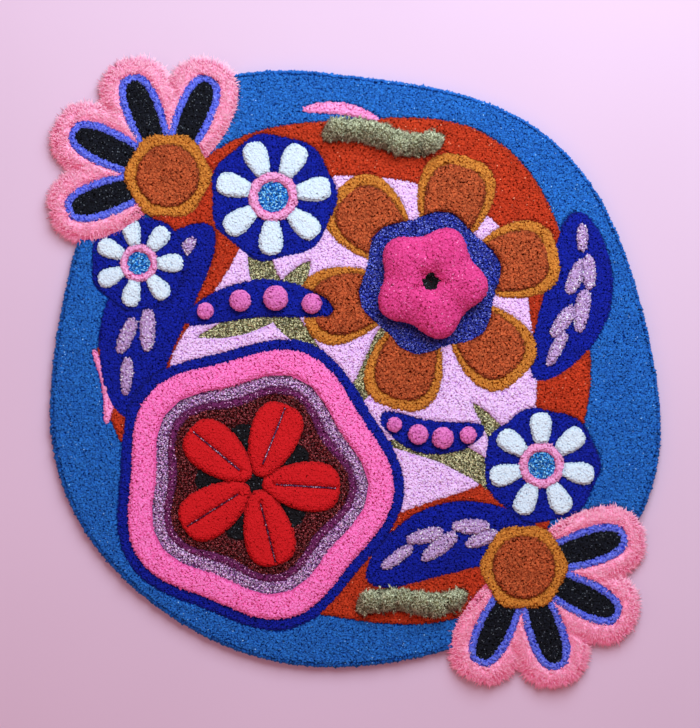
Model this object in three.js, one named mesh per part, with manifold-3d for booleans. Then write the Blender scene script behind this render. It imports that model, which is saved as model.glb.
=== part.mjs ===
// Tufted rug, free form, about 800 mm across.
// One flat rug body holds all the clipped pile. Two shag fans meet it at the rim, two tinsel garlands
// stand in channels of it, and a padded flower heart and eight berries are sewn on top.
// Millimetres, +Z up, flat underside on z = 0, origin under the middle of the rug.

import * as THREE from 'three';
import { mergeVertices } from 'three/addons/utils/BufferGeometryUtils.js';
import Module from 'manifold-3d';

const wasm = await Module();
wasm.setup();

// Driving dimensions
const GAP = 0.3; // clearance between pieces that touch
const ROOT = 3; // level inside the backing that every motif's pile starts from
const CLEAR_ABOVE = 60; // any level above the whole rug
const SAGITTA = 0.9; // how far a straight step may lie inside a round outline
const LEAF_STEPS = { fixed: 2.4, growing: 0.42 }; // steps along a leaf, with more on a longer one
const CENTRE_SHIFT = { x: 3, y: 2.7 }; // moves the layout's middle onto the origin

// Level of each yarn's clipped top above the floor, and the rounding of the raised yarns' edges
const PILE = {
  cerulean: { top: 13, round: 3.5 },
  rust: { top: 14.5, round: 0 },
  lilac: { top: 14, round: 0 },
  sliver: { top: 13.5, round: 0 },
  royal: { top: 13, round: 0 },
  mauve: { top: 16, round: 3.5 },
  olive: { top: 11.5, round: 0 },
  ribbon: { top: 18.5, round: 6 },
  silver: { top: 12.5, round: 0 },
  plum: { top: 12, round: 0 },
  maroon: { top: 11.5, round: 0 },
  black: { top: 11, round: 0 },
  red: { top: 17, round: 6.5 },
  ochre: { top: 15, round: 2.5 },
  brown: { top: 18, round: 3.5 },
  navy: { top: 13.5, round: 0 },
  white: { top: 17, round: 4.5 },
  rose: { top: 16, round: 3.5 },
  teal: { top: 13, round: 0 },
  channel: { top: 9, round: 0 },
};

// Wavy round fields, from the rim inwards: each wave is its count, its share of the radius and its phase
const FIELDS = [
  {
    yarn: 'cerulean', x: 0, y: 0, radius: 366, square: 2.3,
    waves: [[2, 0.02, 60], [3, 0.022, 40], [5, 0.02, 110]],
  },
  {
    yarn: 'rust', x: 2, y: 4, radius: 306, square: 2.15,
    waves: [[2, 0.03, 160], [3, 0.035, 200], [6, 0.022, 10]],
  },
  {
    yarn: 'lilac', x: 8, y: 14, radius: 222, square: 2.1,
    waves: [[2, 0.07, 280], [3, 0.05, 80], [5, 0.035, 150]],
  },
];

// Thin bright slivers between the rust and the ground
const SLIVERS = [
  { x: -318, y: 24, angle: -80, length: 92, width: 15, bend: 10 },
  { x: 300, y: 60, angle: 98, length: 90, width: 14, bend: -9 },
  { x: -60, y: 322, angle: -8, length: 96, width: 14, bend: 8 },
];

// Spotted leaves, and the spots along each: place along the leaf, place across it, turn, length, width
const SPOTTED_LEAVES = [
  { x: -282, y: -58, angle: 66, length: 262, width: 100, bend: 26 },
  { x: 18, y: -258, angle: 14, length: 226, width: 88, bend: 24 },
  { x: 232, y: -14, angle: 76, length: 216, width: 84, bend: -22 },
];
const SPOTS = [
  { along: 0.1, across: 0, turn: 4, length: 46, width: 14 },
  { along: 0.27, across: 0.17, turn: -12, length: 46, width: 17 },
  { along: 0.33, across: -0.17, turn: 14, length: 52, width: 18 },
  { along: 0.53, across: 0.15, turn: -14, length: 46, width: 18 },
  { along: 0.58, across: -0.15, turn: 12, length: 42, width: 16 },
  { along: 0.78, across: 0, turn: 0, length: 34, width: 13 },
];

// Slender leaves of flat metallic yarn
const SLENDER_LEAVES = [
  { x: -20, y: -60, angle: 62, length: 130, width: 30, bend: -14 },
  { x: -30, y: 10, angle: 118, length: 196, width: 36, bend: 22 },
  { x: 40, y: -90, angle: -24, length: 180, width: 34, bend: 22 },
  { x: -190, y: 40, angle: 34, length: 170, width: 34, bend: -20 },
  { x: 150, y: -40, angle: -66, length: 120, width: 26, bend: 12 },
];

// Five-lobed bloom: rings from the outside in, then its raised petals
const BLOOM = { x: -118, y: -140, petals: 5, phase: -3.6, inner: 10, length: 94, width: 58 };
const BLOOM_RINGS = [
  { yarn: 'royal', radius: 176, lobe: 0.05, phase: 18 },
  { yarn: 'ribbon', radius: 162, lobe: 0.055, phase: 18 },
  { yarn: 'silver', radius: 132, lobe: 0.065, phase: 18 },
  { yarn: 'plum', radius: 117, lobe: 0.075, phase: 18 },
  { yarn: 'maroon', radius: 107, lobe: 0.09, phase: 18 },
  { yarn: 'black', radius: 66, lobe: 0.14, phase: 198 },
];

// Six-petalled star flower with a padded heart
const STAR = { x: 98, y: 108, petals: 6, phase: 14, inner: 50, seat: 86, lobe: 0.06 };
const STAR_PETALS = [
  { yarn: 'ochre', length: 112, width: 92 },
  { yarn: 'brown', length: 98, width: 70 },
];
const HEART = {
  radius: 64,
  height: 32,
  lobes: 5,
  lobe: 0.11,
  phase: 30,
  crease: 0.2,
  dimple: 0.24,
  foot: 0.72,
  widest: 0.28,
  tuck: 1.25,
  steps: 30,
  rings: 10,
};

// Daisies with seven felted petals
const DAISIES = [
  { x: -96, y: 214, radius: 66, phase: 10 },
  { x: 236, y: -118, radius: 60, phase: 40 },
  { x: -262, y: 132, radius: 50, phase: 0 },
];
const DAISY = { petals: 7, disc: 1.18, inner: 0.36, length: 0.72, width: 0.4, ring: 0.46, eye: 0.3 };

// Crescents that carry the berries, smallest berry first along each
const CRESCENTS = [
  { x: -206, y: 62, angle: 4, length: 186, width: 46, bend: 20, berries: [10, 13, 15, 12] },
  { x: 36, y: -58, angle: -8, length: 130, width: 42, bend: -16, berries: [9, 12, 13, 10] },
];
const BERRY = { rise: 0.82, foot: 0.74, sides: 11 };

// Shag fans at the rim: hub, heading, then the petals that spread from the hub
const FANS = [
  { x: -226, y: 240, heading: 133 },
  { x: 214, y: -244, heading: -49 },
];
const FAN = {
  spread: [-66, -22, 22, 66],
  length: 152,
  width: 88,
  top: 19,
  round: 6,
  core: { inset: 24, top: 12 },
  clumps: { radius: 16, pitch: 38, level: 11 },
  locks: { radius: 3.6, length: 20, pitch: 15, level: 9 },
};
const HUB = [
  { yarn: 'ochre', radius: 52, lobe: 0.04 },
  { yarn: 'brown', radius: 38, lobe: 0 },
];

// Raised tinsel garlands, rooted in channels of the rug body
const GARLANDS = [
  { x: -36, y: 290, angle: -2, length: 152, width: 30, wave: 9 },
  { x: 6, y: -296, angle: 8, length: 140, width: 28, wave: 8 },
];
const GARLAND = {
  clumps: { radius: 15, level: 19, pitch: 19 },
  locks: { radius: 3, length: 16, pitch: 12 },
  waist: 15.5,
};

// Outlines

const radians = THREE.MathUtils.degToRad;

function roundOutline({ radius, waves = [], square = 2 }) {
  // A circle of the given radius, squared off a little and waved
  const steps = Math.ceil(Math.PI / Math.acos(1 - SAGITTA / radius)) + 3 * waves.length;
  const points = [];
  for (let step = 0; step < steps; step += 1) {
    const angle = (2 * Math.PI * step) / steps;
    const [c, s] = [Math.cos(angle), Math.sin(angle)];
    let reach = radius * (Math.abs(c) ** square + Math.abs(s) ** square) ** (-1 / square);
    let wobble = 1;
    for (const [count, share, phase] of waves) {
      wobble += share * Math.cos(count * angle + radians(phase));
    }
    reach *= wobble;
    points.push(new THREE.Vector2(reach * c, reach * s));
  }
  return { points, length: 2 * radius, width: 2 * radius };
}

function leafOutline({ length, width, point = 1, skew = 0, bend = 0, wave = 0 }) {
  // A leaf or petal along +X from its root at the local origin
  const steps = Math.round(LEAF_STEPS.fixed + Math.sqrt(length) * LEAF_STEPS.growing);
  const upper = [];
  const lower = [];
  for (let step = 0; step <= steps; step += 1) {
    const turn = (Math.PI * step) / steps;
    const along = (1 - Math.cos(turn)) / 2;
    const half = (width / 2) * Math.sin(turn) ** point * (1 - skew * Math.cos(turn));
    const middle = bend * Math.sin(Math.PI * along) + wave * Math.sin(2 * Math.PI * along);
    upper.push(new THREE.Vector2(length * along, middle + half));
    if (step > 0 && step < steps) lower.push(new THREE.Vector2(length * along, middle - half));
  }
  return { points: [...lower, ...upper.reverse()], length, width };
}

function lobedOutline(radius, count, share, phase) {
  return roundOutline({ radius, waves: [[count, share, phase]] });
}

// A point given along and across a leaf that lies at x, y and angle
function pointOn({ x, y, angle, length, width, bend = 0, wave = 0 }, along, across = 0) {
  const middle = bend * Math.sin(Math.PI * along) + wave * Math.sin(2 * Math.PI * along);
  const local = new THREE.Vector2(length * along, middle + across * width);
  return local.rotateAround(new THREE.Vector2(), radians(angle)).add(new THREE.Vector2(x, y));
}

// Solids

function solidFrom(geometry) {
  geometry.deleteAttribute('normal');
  geometry.deleteAttribute('uv');
  const merged = mergeVertices(geometry, 1e-4);
  return new wasm.Manifold(new wasm.Mesh({
    numProp: 3,
    vertProperties: Float32Array.from(merged.attributes.position.array),
    triVerts: Uint32Array.from(merged.index.array),
  }));
}

function pileSolid(motif, { bottom, top, round = 0, grow = 0 }) {
  // A block over the motif's outline, grown sideways, with its top edge rounded in by one slanted step
  const { points, length, width } = motif.outline;
  const steps = round > 0 ? 2 : 1;
  const levels = round > 0 ? [bottom, top - round, top] : [bottom, top];
  const shape = new THREE.Shape(points);
  const block = new THREE.ExtrudeGeometry(shape, { depth: steps, steps, bevelEnabled: false });
  const box = new THREE.Box2().setFromPoints(points);
  const middle = box.getCenter(new THREE.Vector2());
  const position = block.attributes.position;
  for (let index = 0; index < position.count; index += 1) {
    const ring = Math.round(position.getZ(index));
    const inset = ring === steps ? grow - round : grow;
    position.setXYZ(
      index,
      middle.x + (position.getX(index) - middle.x) * (1 + (2 * inset) / length),
      middle.y + (position.getY(index) - middle.y) * (1 + (2 * inset) / width),
      levels[ring],
    );
  }
  block.rotateZ(radians(motif.angle ?? 0));
  block.translate(motif.x, motif.y, 0);
  return solidFrom(block);
}

function whorl({ x, y, petals, phase, inner }, petal) {
  // Petals of one kind around a centre
  return Array.from({ length: petals }, (_, index) => {
    const angle = phase + (360 * index) / petals;
    const root = new THREE.Vector2(inner, 0).rotateAround(new THREE.Vector2(), radians(angle));
    return { yarn: petal.yarn, x: x + root.x, y: y + root.y, angle, outline: leafOutline(petal) };
  });
}

// Motifs of the rug body in the order in which they are carved

function fieldMotifs() {
  return FIELDS.map((field) => ({ ...field, outline: roundOutline(field) }));
}

function leafMotifs() {
  const slivers = SLIVERS.map((row) => (
    { ...row, yarn: 'sliver', outline: leafOutline({ ...row, point: 0.9 }) }
  ));
  const leaves = SPOTTED_LEAVES.flatMap((leaf) => [
    { ...leaf, yarn: 'royal', outline: leafOutline({ ...leaf, point: 1.1 }) },
    ...SPOTS.map((spot) => spotMotif(leaf, spot)),
  ]);
  const slender = SLENDER_LEAVES.map((row) => (
    { ...row, yarn: 'olive', outline: leafOutline({ ...row, point: 1.3, skew: 0.2 }) }
  ));
  return [...slivers, ...leaves, ...slender];
}

function spotMotif(leaf, spot) {
  const place = pointOn(leaf, spot.along, spot.across);
  const slope = Math.atan((leaf.bend * Math.PI * Math.cos(Math.PI * spot.along)) / leaf.length);
  const angle = leaf.angle + spot.turn + THREE.MathUtils.radToDeg(slope);
  const outline = leafOutline({ ...spot, point: 0.7, skew: 0.1 });
  return { yarn: 'mauve', x: place.x, y: place.y, angle, outline };
}

function bloomMotifs() {
  const rings = BLOOM_RINGS.map(({ yarn, radius, lobe, phase }) => (
    { yarn, x: BLOOM.x, y: BLOOM.y, outline: lobedOutline(radius, BLOOM.petals, lobe, phase) }
  ));
  const petal = { yarn: 'red', length: BLOOM.length, width: BLOOM.width, point: 0.75, skew: 0.3 };
  return [...rings, ...whorl(BLOOM, petal)];
}

function starMotifs() {
  const petals = STAR_PETALS.flatMap((petal) => whorl(STAR, { ...petal, point: 0.72, skew: 0.22 }));
  const outline = lobedOutline(STAR.seat, STAR.petals, STAR.lobe, STAR.petals * STAR.phase + 180);
  return [...petals, { yarn: 'navy', x: STAR.x, y: STAR.y, outline }];
}

function daisyMotifs() {
  return DAISIES.flatMap(({ x, y, radius, phase }) => {
    const size = { length: DAISY.length * radius, width: DAISY.width * radius };
    const petal = { yarn: 'white', ...size, point: 0.7, skew: 0.35 };
    const place = { x, y, petals: DAISY.petals, phase, inner: DAISY.inner * radius };
    return [
      { yarn: 'royal', x, y, outline: lobedOutline(DAISY.disc * radius, DAISY.petals, 0.03, 0) },
      ...whorl(place, petal),
      { yarn: 'rose', x, y, outline: roundOutline({ radius: DAISY.ring * radius }) },
      { yarn: 'teal', x, y, outline: roundOutline({ radius: DAISY.eye * radius }) },
    ];
  });
}

function crescentMotifs() {
  return CRESCENTS.map((row) => ({ ...row, yarn: 'royal', outline: leafOutline({ ...row, point: 0.8 }) }));
}

function hubMotifs() {
  return FANS.flatMap(({ x, y }) => HUB.map(({ yarn, radius, lobe }) => (
    { yarn, x, y, outline: lobedOutline(radius, 6, lobe, 0) }
  )));
}

function channelMotifs() {
  return GARLANDS.map((row) => ({ ...row, yarn: 'channel', outline: leafOutline({ ...row, point: 0.42 }) }));
}

// Shag fans

function fanPetals(fan, inset = 0) {
  return FAN.spread.map((offset) => {
    const angle = fan.heading + offset;
    const root = new THREE.Vector2(inset / 2, 0).rotateAround(new THREE.Vector2(), radians(angle));
    const size = { length: FAN.length - 1.4 * inset, width: FAN.width - 2 * inset };
    const outline = leafOutline({ ...size, point: 0.8, skew: 0.25 });
    return { x: fan.x + root.x, y: fan.y + root.y, angle, outline };
  });
}

function joined(solids) {
  return solids.reduce((whole, solid) => whole.add(solid));
}

// The largest piece of a solid, without the slivers that carving cuts loose
function mainPiece(solid) {
  return solid.decompose().reduce((largest, piece) => (piece.volume() > largest.volume() ? piece : largest));
}

// Points at an even pitch along a petal's free rim, with the heading that faces away from it
function rimPoints(petal, pitch) {
  const { points, length, width } = petal.outline;
  const curve = new THREE.SplineCurve([...points, points[0]]);
  const count = Math.round(curve.getLength() / pitch);
  return curve.getSpacedPoints(count).slice(1).filter((point) => point.x > 0.42 * length).map((point) => {
    const away = Math.atan2((point.y * length) / width, point.x - 0.6 * length) + radians(petal.angle);
    const place = point.clone().rotateAround(new THREE.Vector2(), radians(petal.angle));
    return { x: petal.x + place.x, y: petal.y + place.y, away };
  });
}

function clump(x, y, level, radius, turn) {
  const ball = new THREE.IcosahedronGeometry(radius, 0);
  ball.rotateZ(turn);
  ball.rotateX(turn / 2);
  ball.translate(x, y, level);
  return solidFrom(ball);
}

function lock(x, y, level, { radius, length }, away, tilt) {
  // A three-sided pointed lock, rooted a third of its length inside the slab
  const spike = new THREE.ConeGeometry(radius, length, 3);
  spike.translate(0, length / 6, 0);
  spike.rotateZ(-Math.PI / 2);
  spike.rotateY(-tilt);
  spike.rotateZ(away);
  spike.translate(x, y, level);
  return solidFrom(spike);
}

function fanSolid(fan, ground) {
  const { clumps, locks } = FAN;
  const petals = fanPetals(fan);
  const cores = fanPetals(fan, FAN.core.inset);
  const slab = { bottom: 0, top: FAN.top, round: FAN.round, grow: -2 };
  const pieces = petals.map((petal) => pileSolid(petal, slab));
  petals.forEach((petal) => {
    rimPoints(petal, clumps.pitch).forEach(({ x, y, away }, index) => {
      const inside = 0.7 * clumps.radius;
      const size = clumps.radius * (1 + 0.12 * Math.sin(2.4 * index));
      const [inX, inY] = [x - inside * Math.cos(away), y - inside * Math.sin(away)];
      pieces.push(clump(inX, inY, clumps.level, size, index));
    });
    rimPoints(petal, locks.pitch).forEach(({ x, y, away }, index) => {
      const swing = away + 0.35 * Math.sin(2.1 * index);
      const level = locks.level + 4 * Math.sin(1.7 * index);
      pieces.push(lock(x, y, level, locks, swing, 0.3 + 0.3 * Math.sin(index)));
    });
  });
  const floor = { x: fan.x, y: fan.y, outline: roundOutline({ radius: 2 * FAN.length }) };
  const under = pileSolid(floor, { bottom: -CLEAR_ABOVE, top: 0 });
  const wells = joined(cores.map((core) => pileSolid(core, { bottom: FAN.core.top, top: CLEAR_ABOVE })));
  const notch = joined(petals.map((petal) => pileSolid(petal, { bottom: -1, top: CLEAR_ABOVE })));
  const outside = ground.subtract(notch);
  const hub = { x: fan.x, y: fan.y, outline: lobedOutline(HUB[0].radius, 6, HUB[0].lobe, 0) };
  const seat = pileSolid(hub, { bottom: -1, top: CLEAR_ABOVE, grow: GAP });
  return mainPiece(joined(pieces).subtract(under).subtract(wells).subtract(outside).subtract(seat));
}

// Rug body

function carve(body, motif) {
  const { top, round } = PILE[motif.yarn];
  const cut = pileSolid(motif, { bottom: top, top: CLEAR_ABOVE });
  const pile = pileSolid(motif, { bottom: ROOT, top, round });
  return body.subtract(cut).add(pile);
}

function bodySolid() {
  const [ground, ...fields] = fieldMotifs();
  const notches = FANS.flatMap((fan) => fanPetals(fan)).map((petal) => (
    pileSolid(petal, { bottom: -1, top: CLEAR_ABOVE, grow: GAP })
  ));
  const slab = pileSolid(ground, { bottom: 0, ...PILE.cerulean });
  const motifs = [...fields, ...leafMotifs(), ...bloomMotifs(), ...starMotifs(), ...daisyMotifs()];
  const carved = [...motifs, ...crescentMotifs(), ...channelMotifs()].reduce(carve, slab);
  const hubs = hubMotifs().map((hub) => pileSolid(hub, { bottom: 0, ...PILE[hub.yarn] }));
  return mainPiece(hubs.reduce((body, hub) => body.add(hub), carved.subtract(joined(notches))));
}

// Pieces sewn on

function heartGeometry() {
  // A padded five-lobed boss: creased between its lobes, dimpled at the centre, with a narrower flat foot
  const ball = new THREE.SphereGeometry(1, HEART.steps, HEART.rings);
  const position = ball.attributes.position;
  for (let index = 0; index < position.count; index += 1) {
    const [x, y, z] = [position.getX(index), -position.getZ(index), position.getY(index)];
    const around = Math.atan2(y, x);
    const flat = Math.hypot(x, y);
    const lobe = Math.cos(HEART.lobes * around + radians(HEART.phase));
    const reach = HEART.radius * flat * (1 + HEART.lobe * lobe);
    const crease = HEART.crease * (0.5 - 0.5 * lobe) * flat * flat;
    const dimple = 0.9 * Math.exp(-((flat / HEART.dimple) ** 2));
    const rise = Math.max(0, z) ** 0.6 * (1 - crease) * (1 - dimple);
    const sink = Math.max(0, 1 + HEART.tuck * Math.min(0, z));
    const level = HEART.widest * sink + (1 - HEART.widest) * rise;
    const foot = z < 0 ? THREE.MathUtils.lerp(1, HEART.foot, Math.min(1, -z * HEART.tuck)) : 1;
    const wide = reach * foot;
    position.setXYZ(index, wide * Math.cos(around), wide * Math.sin(around), HEART.height * level);
  }
  ball.translate(STAR.x, STAR.y, PILE.navy.top + GAP);
  return ball;
}

function berryGeometry(radius) {
  const height = BERRY.rise * radius;
  const profile = [[0, 0], [BERRY.foot, 0], [1, 0.36], [0.78, 0.84], [0, 1]];
  const points = profile.map(([share, level]) => new THREE.Vector2(share * radius, level * height));
  return new THREE.LatheGeometry(points, BERRY.sides).rotateX(Math.PI / 2);
}

function garlandSolid(row) {
  const { clumps, locks, waist } = GARLAND;
  const bed = { ...row, outline: leafOutline({ ...row, point: 0.42 }) };
  const floor = PILE.channel.top + GAP;
  const pieces = [pileSolid(bed, { bottom: floor, top: clumps.level + 4, round: 5, grow: -GAP })];
  const count = Math.round(row.length / clumps.pitch);
  for (let index = 1; index < count; index += 1) {
    const place = pointOn(row, index / count, 0.1 * Math.sin(2.2 * index));
    const size = clumps.radius * (1 + 0.1 * Math.sin(1.9 * index));
    pieces.push(clump(place.x, place.y, clumps.level, size, index));
  }
  const steps = Math.round(row.length / locks.pitch);
  for (let index = 1; index < steps; index += 1) {
    for (const side of [-1, 1]) {
      const place = pointOn(row, index / steps, 0.3 * side);
      const away = radians(row.angle) + side * (Math.PI / 2 + 0.5 * Math.sin(2.3 * index));
      pieces.push(lock(place.x, place.y, clumps.level + 2 * Math.sin(index), locks, away, 0.35));
    }
  }
  const around = { ...bed, outline: roundOutline({ radius: row.length }) };
  const beside = pileSolid(around, { bottom: -1, top: waist }).subtract(
    pileSolid(bed, { bottom: floor, top: CLEAR_ABOVE, grow: -GAP }),
  );
  return mainPiece(joined(pieces).subtract(beside));
}

// Meshes

const rug = new THREE.Group();
rug.position.set(CENTRE_SHIFT.x, CENTRE_SHIFT.y, 0);

function addMesh(name, geometry, color, roughness) {
  const mesh = new THREE.Mesh(geometry, new THREE.MeshStandardMaterial({ color, roughness, metalness: 0 }));
  mesh.name = name;
  rug.add(mesh);
  return mesh;
}

function geometryOf(solid) {
  const { vertProperties, triVerts } = solid.getMesh();
  const geometry = new THREE.BufferGeometry();
  geometry.setAttribute('position', new THREE.BufferAttribute(vertProperties, 3));
  geometry.setIndex(new THREE.BufferAttribute(triVerts, 1));
  geometry.computeVertexNormals();
  return geometry;
}

function addFans() {
  const ground = { ...FIELDS[0], outline: roundOutline(FIELDS[0]) };
  const land = pileSolid(ground, { bottom: -1, top: CLEAR_ABOVE, grow: GAP });
  FANS.forEach((fan, index) => {
    addMesh(`shag_fan_${index + 1}`, geometryOf(fanSolid(fan, land)), '#ee7f9c', 0.95);
  });
}

function addBerries() {
  let number = 0;
  for (const row of CRESCENTS) {
    row.berries.forEach((radius, index) => {
      const place = pointOn(row, (index + 0.62) / (row.berries.length + 0.24));
      number += 1;
      const berry = addMesh(`berry_${number}`, berryGeometry(radius), '#d8458c', 0.9);
      berry.position.set(place.x, place.y, PILE.royal.top + GAP);
    });
  }
}

addMesh('rug_body', geometryOf(bodySolid()), '#2a6fc0', 0.95);
addFans();
GARLANDS.forEach((row, index) => {
  addMesh(`tinsel_garland_${index + 1}`, geometryOf(garlandSolid(row)), '#a8a27c', 0.5);
});
addMesh('flower_heart', heartGeometry(), '#dc3a88', 0.9);
addBerries();

export default rug;
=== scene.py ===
"""Tufted floral rug in many yarns, laid flat and seen from straight above.

The rug body is one backing cloth with clipped pile of different heights. Two shag fans meet it at the
rim, two tinsel garlands stand in channels of it, and a padded flower heart and eight berries are sewn on.
Lengths are in metres and angles in degrees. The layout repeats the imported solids.
"""
import itertools
import logging
import math
from dataclasses import dataclass, field, fields
from enum import Enum
from typing import Callable, Iterable, Sequence

import bmesh
import bpy
import numpy as np
from mathutils import Matrix, Vector, kdtree


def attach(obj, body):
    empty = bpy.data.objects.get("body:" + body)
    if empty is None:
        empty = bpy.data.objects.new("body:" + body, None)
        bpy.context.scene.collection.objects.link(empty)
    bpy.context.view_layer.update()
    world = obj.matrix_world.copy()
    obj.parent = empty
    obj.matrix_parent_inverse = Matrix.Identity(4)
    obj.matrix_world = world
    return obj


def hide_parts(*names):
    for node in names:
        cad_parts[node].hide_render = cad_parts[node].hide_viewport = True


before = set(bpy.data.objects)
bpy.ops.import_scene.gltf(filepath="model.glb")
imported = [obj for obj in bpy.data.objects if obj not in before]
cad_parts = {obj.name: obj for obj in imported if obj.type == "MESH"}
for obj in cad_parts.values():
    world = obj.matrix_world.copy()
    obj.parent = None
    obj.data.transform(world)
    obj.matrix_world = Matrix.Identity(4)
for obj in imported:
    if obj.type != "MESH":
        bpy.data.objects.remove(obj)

LOG = logging.getLogger("rug")
SHIFT = (0.003, 0.0027)  # moves the layout's middle onto the origin
SEED = 20417
ROUND_STEPS, LEAF_STEPS = 480, 160  # points round the outline of a round motif, and along a leaf's edge
BED_SHARE = 0.80  # share of a pile's height that stays one dense mass below the loose tips
GROOVE = 0.0034  # reach of the clipped groove beside a motif's edge
GROOVE_DROP = 0.0022  # depth of that groove
NEAR = 0.012  # beyond this an edge no longer matters
WELD = 1e-5  # points closer than this are joined
LOWEST = 0.0004  # no tuft reaches below this level
PAINTED_GLOW = (1.0, 0.08, 0.22, 1.0)  # colour of the painted glow: emission that brightens the pink yarns, which are no lamps
SORTING = Vector((1.0, 13.0, 170.0))  # gives every point of a shape a number of its own

Pair = tuple[float, float]
Colour = tuple[float, ...]
Array = np.ndarray
Chance = np.random.Generator
Shape = bmesh.types.BMesh
Piece = bpy.types.Object
Material = bpy.types.Material
Socket = bpy.types.NodeSocket
Inputs = dict[str | int, Socket | float | Colour]


def linear(code: str) -> tuple[float, float, float, float]:
    """Turns a display colour into the linear colour that a shader takes.

    Args:
        code: six hexadecimal digits.

    Returns:
        Red, green, blue and an alpha of one.
    """
    parts = [int(code[place:place + 2], 16) / 255 for place in (0, 2, 4)]
    low = [part / 12.92 for part in parts]
    high = [((part + 0.055) / 1.055) ** 2.4 for part in parts]
    return tuple(h if p > 0.04045 else l for p, l, h in zip(parts, low, high)) + (1.0,)


def darker(colour: Colour, share: float) -> Colour:
    """Returns a colour with its light cut to a share."""
    return tuple(part * share for part in colour[:3]) + (1.0,)


class Yarn(Enum):
    """Yarns of the rug, each clipped to its own height."""

    CERULEAN = "cerulean"
    RUST = "rust"
    LILAC = "lilac"
    SLIVER = "sliver"
    ROYAL = "royal"
    MAUVE = "mauve"
    OLIVE = "olive"
    RIBBON = "ribbon"
    SILVER = "silver"
    PLUM = "plum"
    MAROON = "maroon"
    BLACK = "black"
    RED = "red"
    OCHRE = "ochre"
    BROWN = "brown"
    NAVY = "navy"
    WHITE = "white"
    ROSE = "rose"
    TEAL = "teal"
    CHANNEL = "channel"
    CORAL = "coral"
    ULTRAMARINE = "ultramarine"
    CORE = "core"
    TINSEL = "tinsel"
    HOT_PINK = "hot_pink"
    BERRY = "berry"
    THREAD = "thread"


class Nap(Enum):
    """Ways in which a yarn stands up from the backing."""

    CUT = "cut"
    LOOP = "loop"
    FELT = "felt"
    FOIL = "foil"
    STRAND = "strand"


@dataclass(frozen=True)
class YarnSpec:
    """Height, spacing and look of one yarn.

    Attributes:
        deep: the yarn's darker tone, also painted as shade between the tufts and at their roots.
        body: colour of the tuft.
        tip: colour of its lit end.
        top: level of the clipped tips above the floor, where the yarn is clipped level.
        round: rounding of a raised motif's edge.
        pitch: distance between tufts.
        nap: how the yarn stands.
        spread: how much one tuft's colour differs from the next one's.
        glints: share of tufts that carry a metallic thread, whose sparkle is painted as a bright speck.
        glint: colour of that painted sparkle.
        metal: how metallic the whole yarn is.
        roughness: roughness of the yarn.
        sheen: strength of the soft sheen.
        glow: strength of the painted pink glow, an emission that brightens the yarn.
    """

    deep: str
    body: str
    tip: str
    top: float = 0.0
    round: float = 0.0
    pitch: float = 0.0022
    nap: Nap = Nap.CUT
    spread: float = 0.16
    glints: float = 0.0
    glint: str = "ffffff"
    metal: float = 0.0
    roughness: float = 0.85
    sheen: float = 0.25
    glow: float = 0.0


def foil(deep: str, body: str, tip: str, **looks: float | str) -> YarnSpec:
    """Returns a metallic yarn, which is thicker and shinier than wool and has no sheen."""
    usual = {"pitch": 0.0024, "nap": Nap.FOIL, "spread": 0.3, "metal": 0.2, "roughness": 0.42, "sheen": 0.0}
    return YarnSpec(deep, body, tip, **(usual | looks))


def felt(deep: str, body: str, tip: str, **looks: float | str) -> YarnSpec:
    """Returns a felted yarn."""
    return YarnSpec(deep, body, tip, nap=Nap.FELT, **looks)


def black(deep: str, body: str, tip: str, top: float) -> YarnSpec:
    """Returns a black yarn, matt and with a few grey glints."""
    looks = {"spread": 0.42, "glints": 0.03, "glint": "666c78", "roughness": 0.9, "sheen": 0.0}
    return YarnSpec(deep, body, tip, top, **looks)


# Width of a tuft as a share of the pitch, and how far it leans
OVERLAP: dict[Nap, float] = {Nap.CUT: 2.15, Nap.FELT: 2.0, Nap.FOIL: 1.8}
LEAN: dict[Nap, float] = {Nap.CUT: 0.16, Nap.FELT: 0.10, Nap.FOIL: 0.28}

# How far light that passes between the fibres evens out the shading of a tuft
SOFTNESS: dict[Nap, float] = {Nap.CUT: 0.45, Nap.FELT: 0.6, Nap.FOIL: 0.4, Nap.STRAND: 0.93}

# How much the points of one tuft differ from those of the next
ROUGH: dict[Nap, float] = {Nap.CUT: 0.1, Nap.LOOP: 0.1, Nap.FELT: 0.03, Nap.FOIL: 0.1, Nap.STRAND: 0.0}

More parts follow.
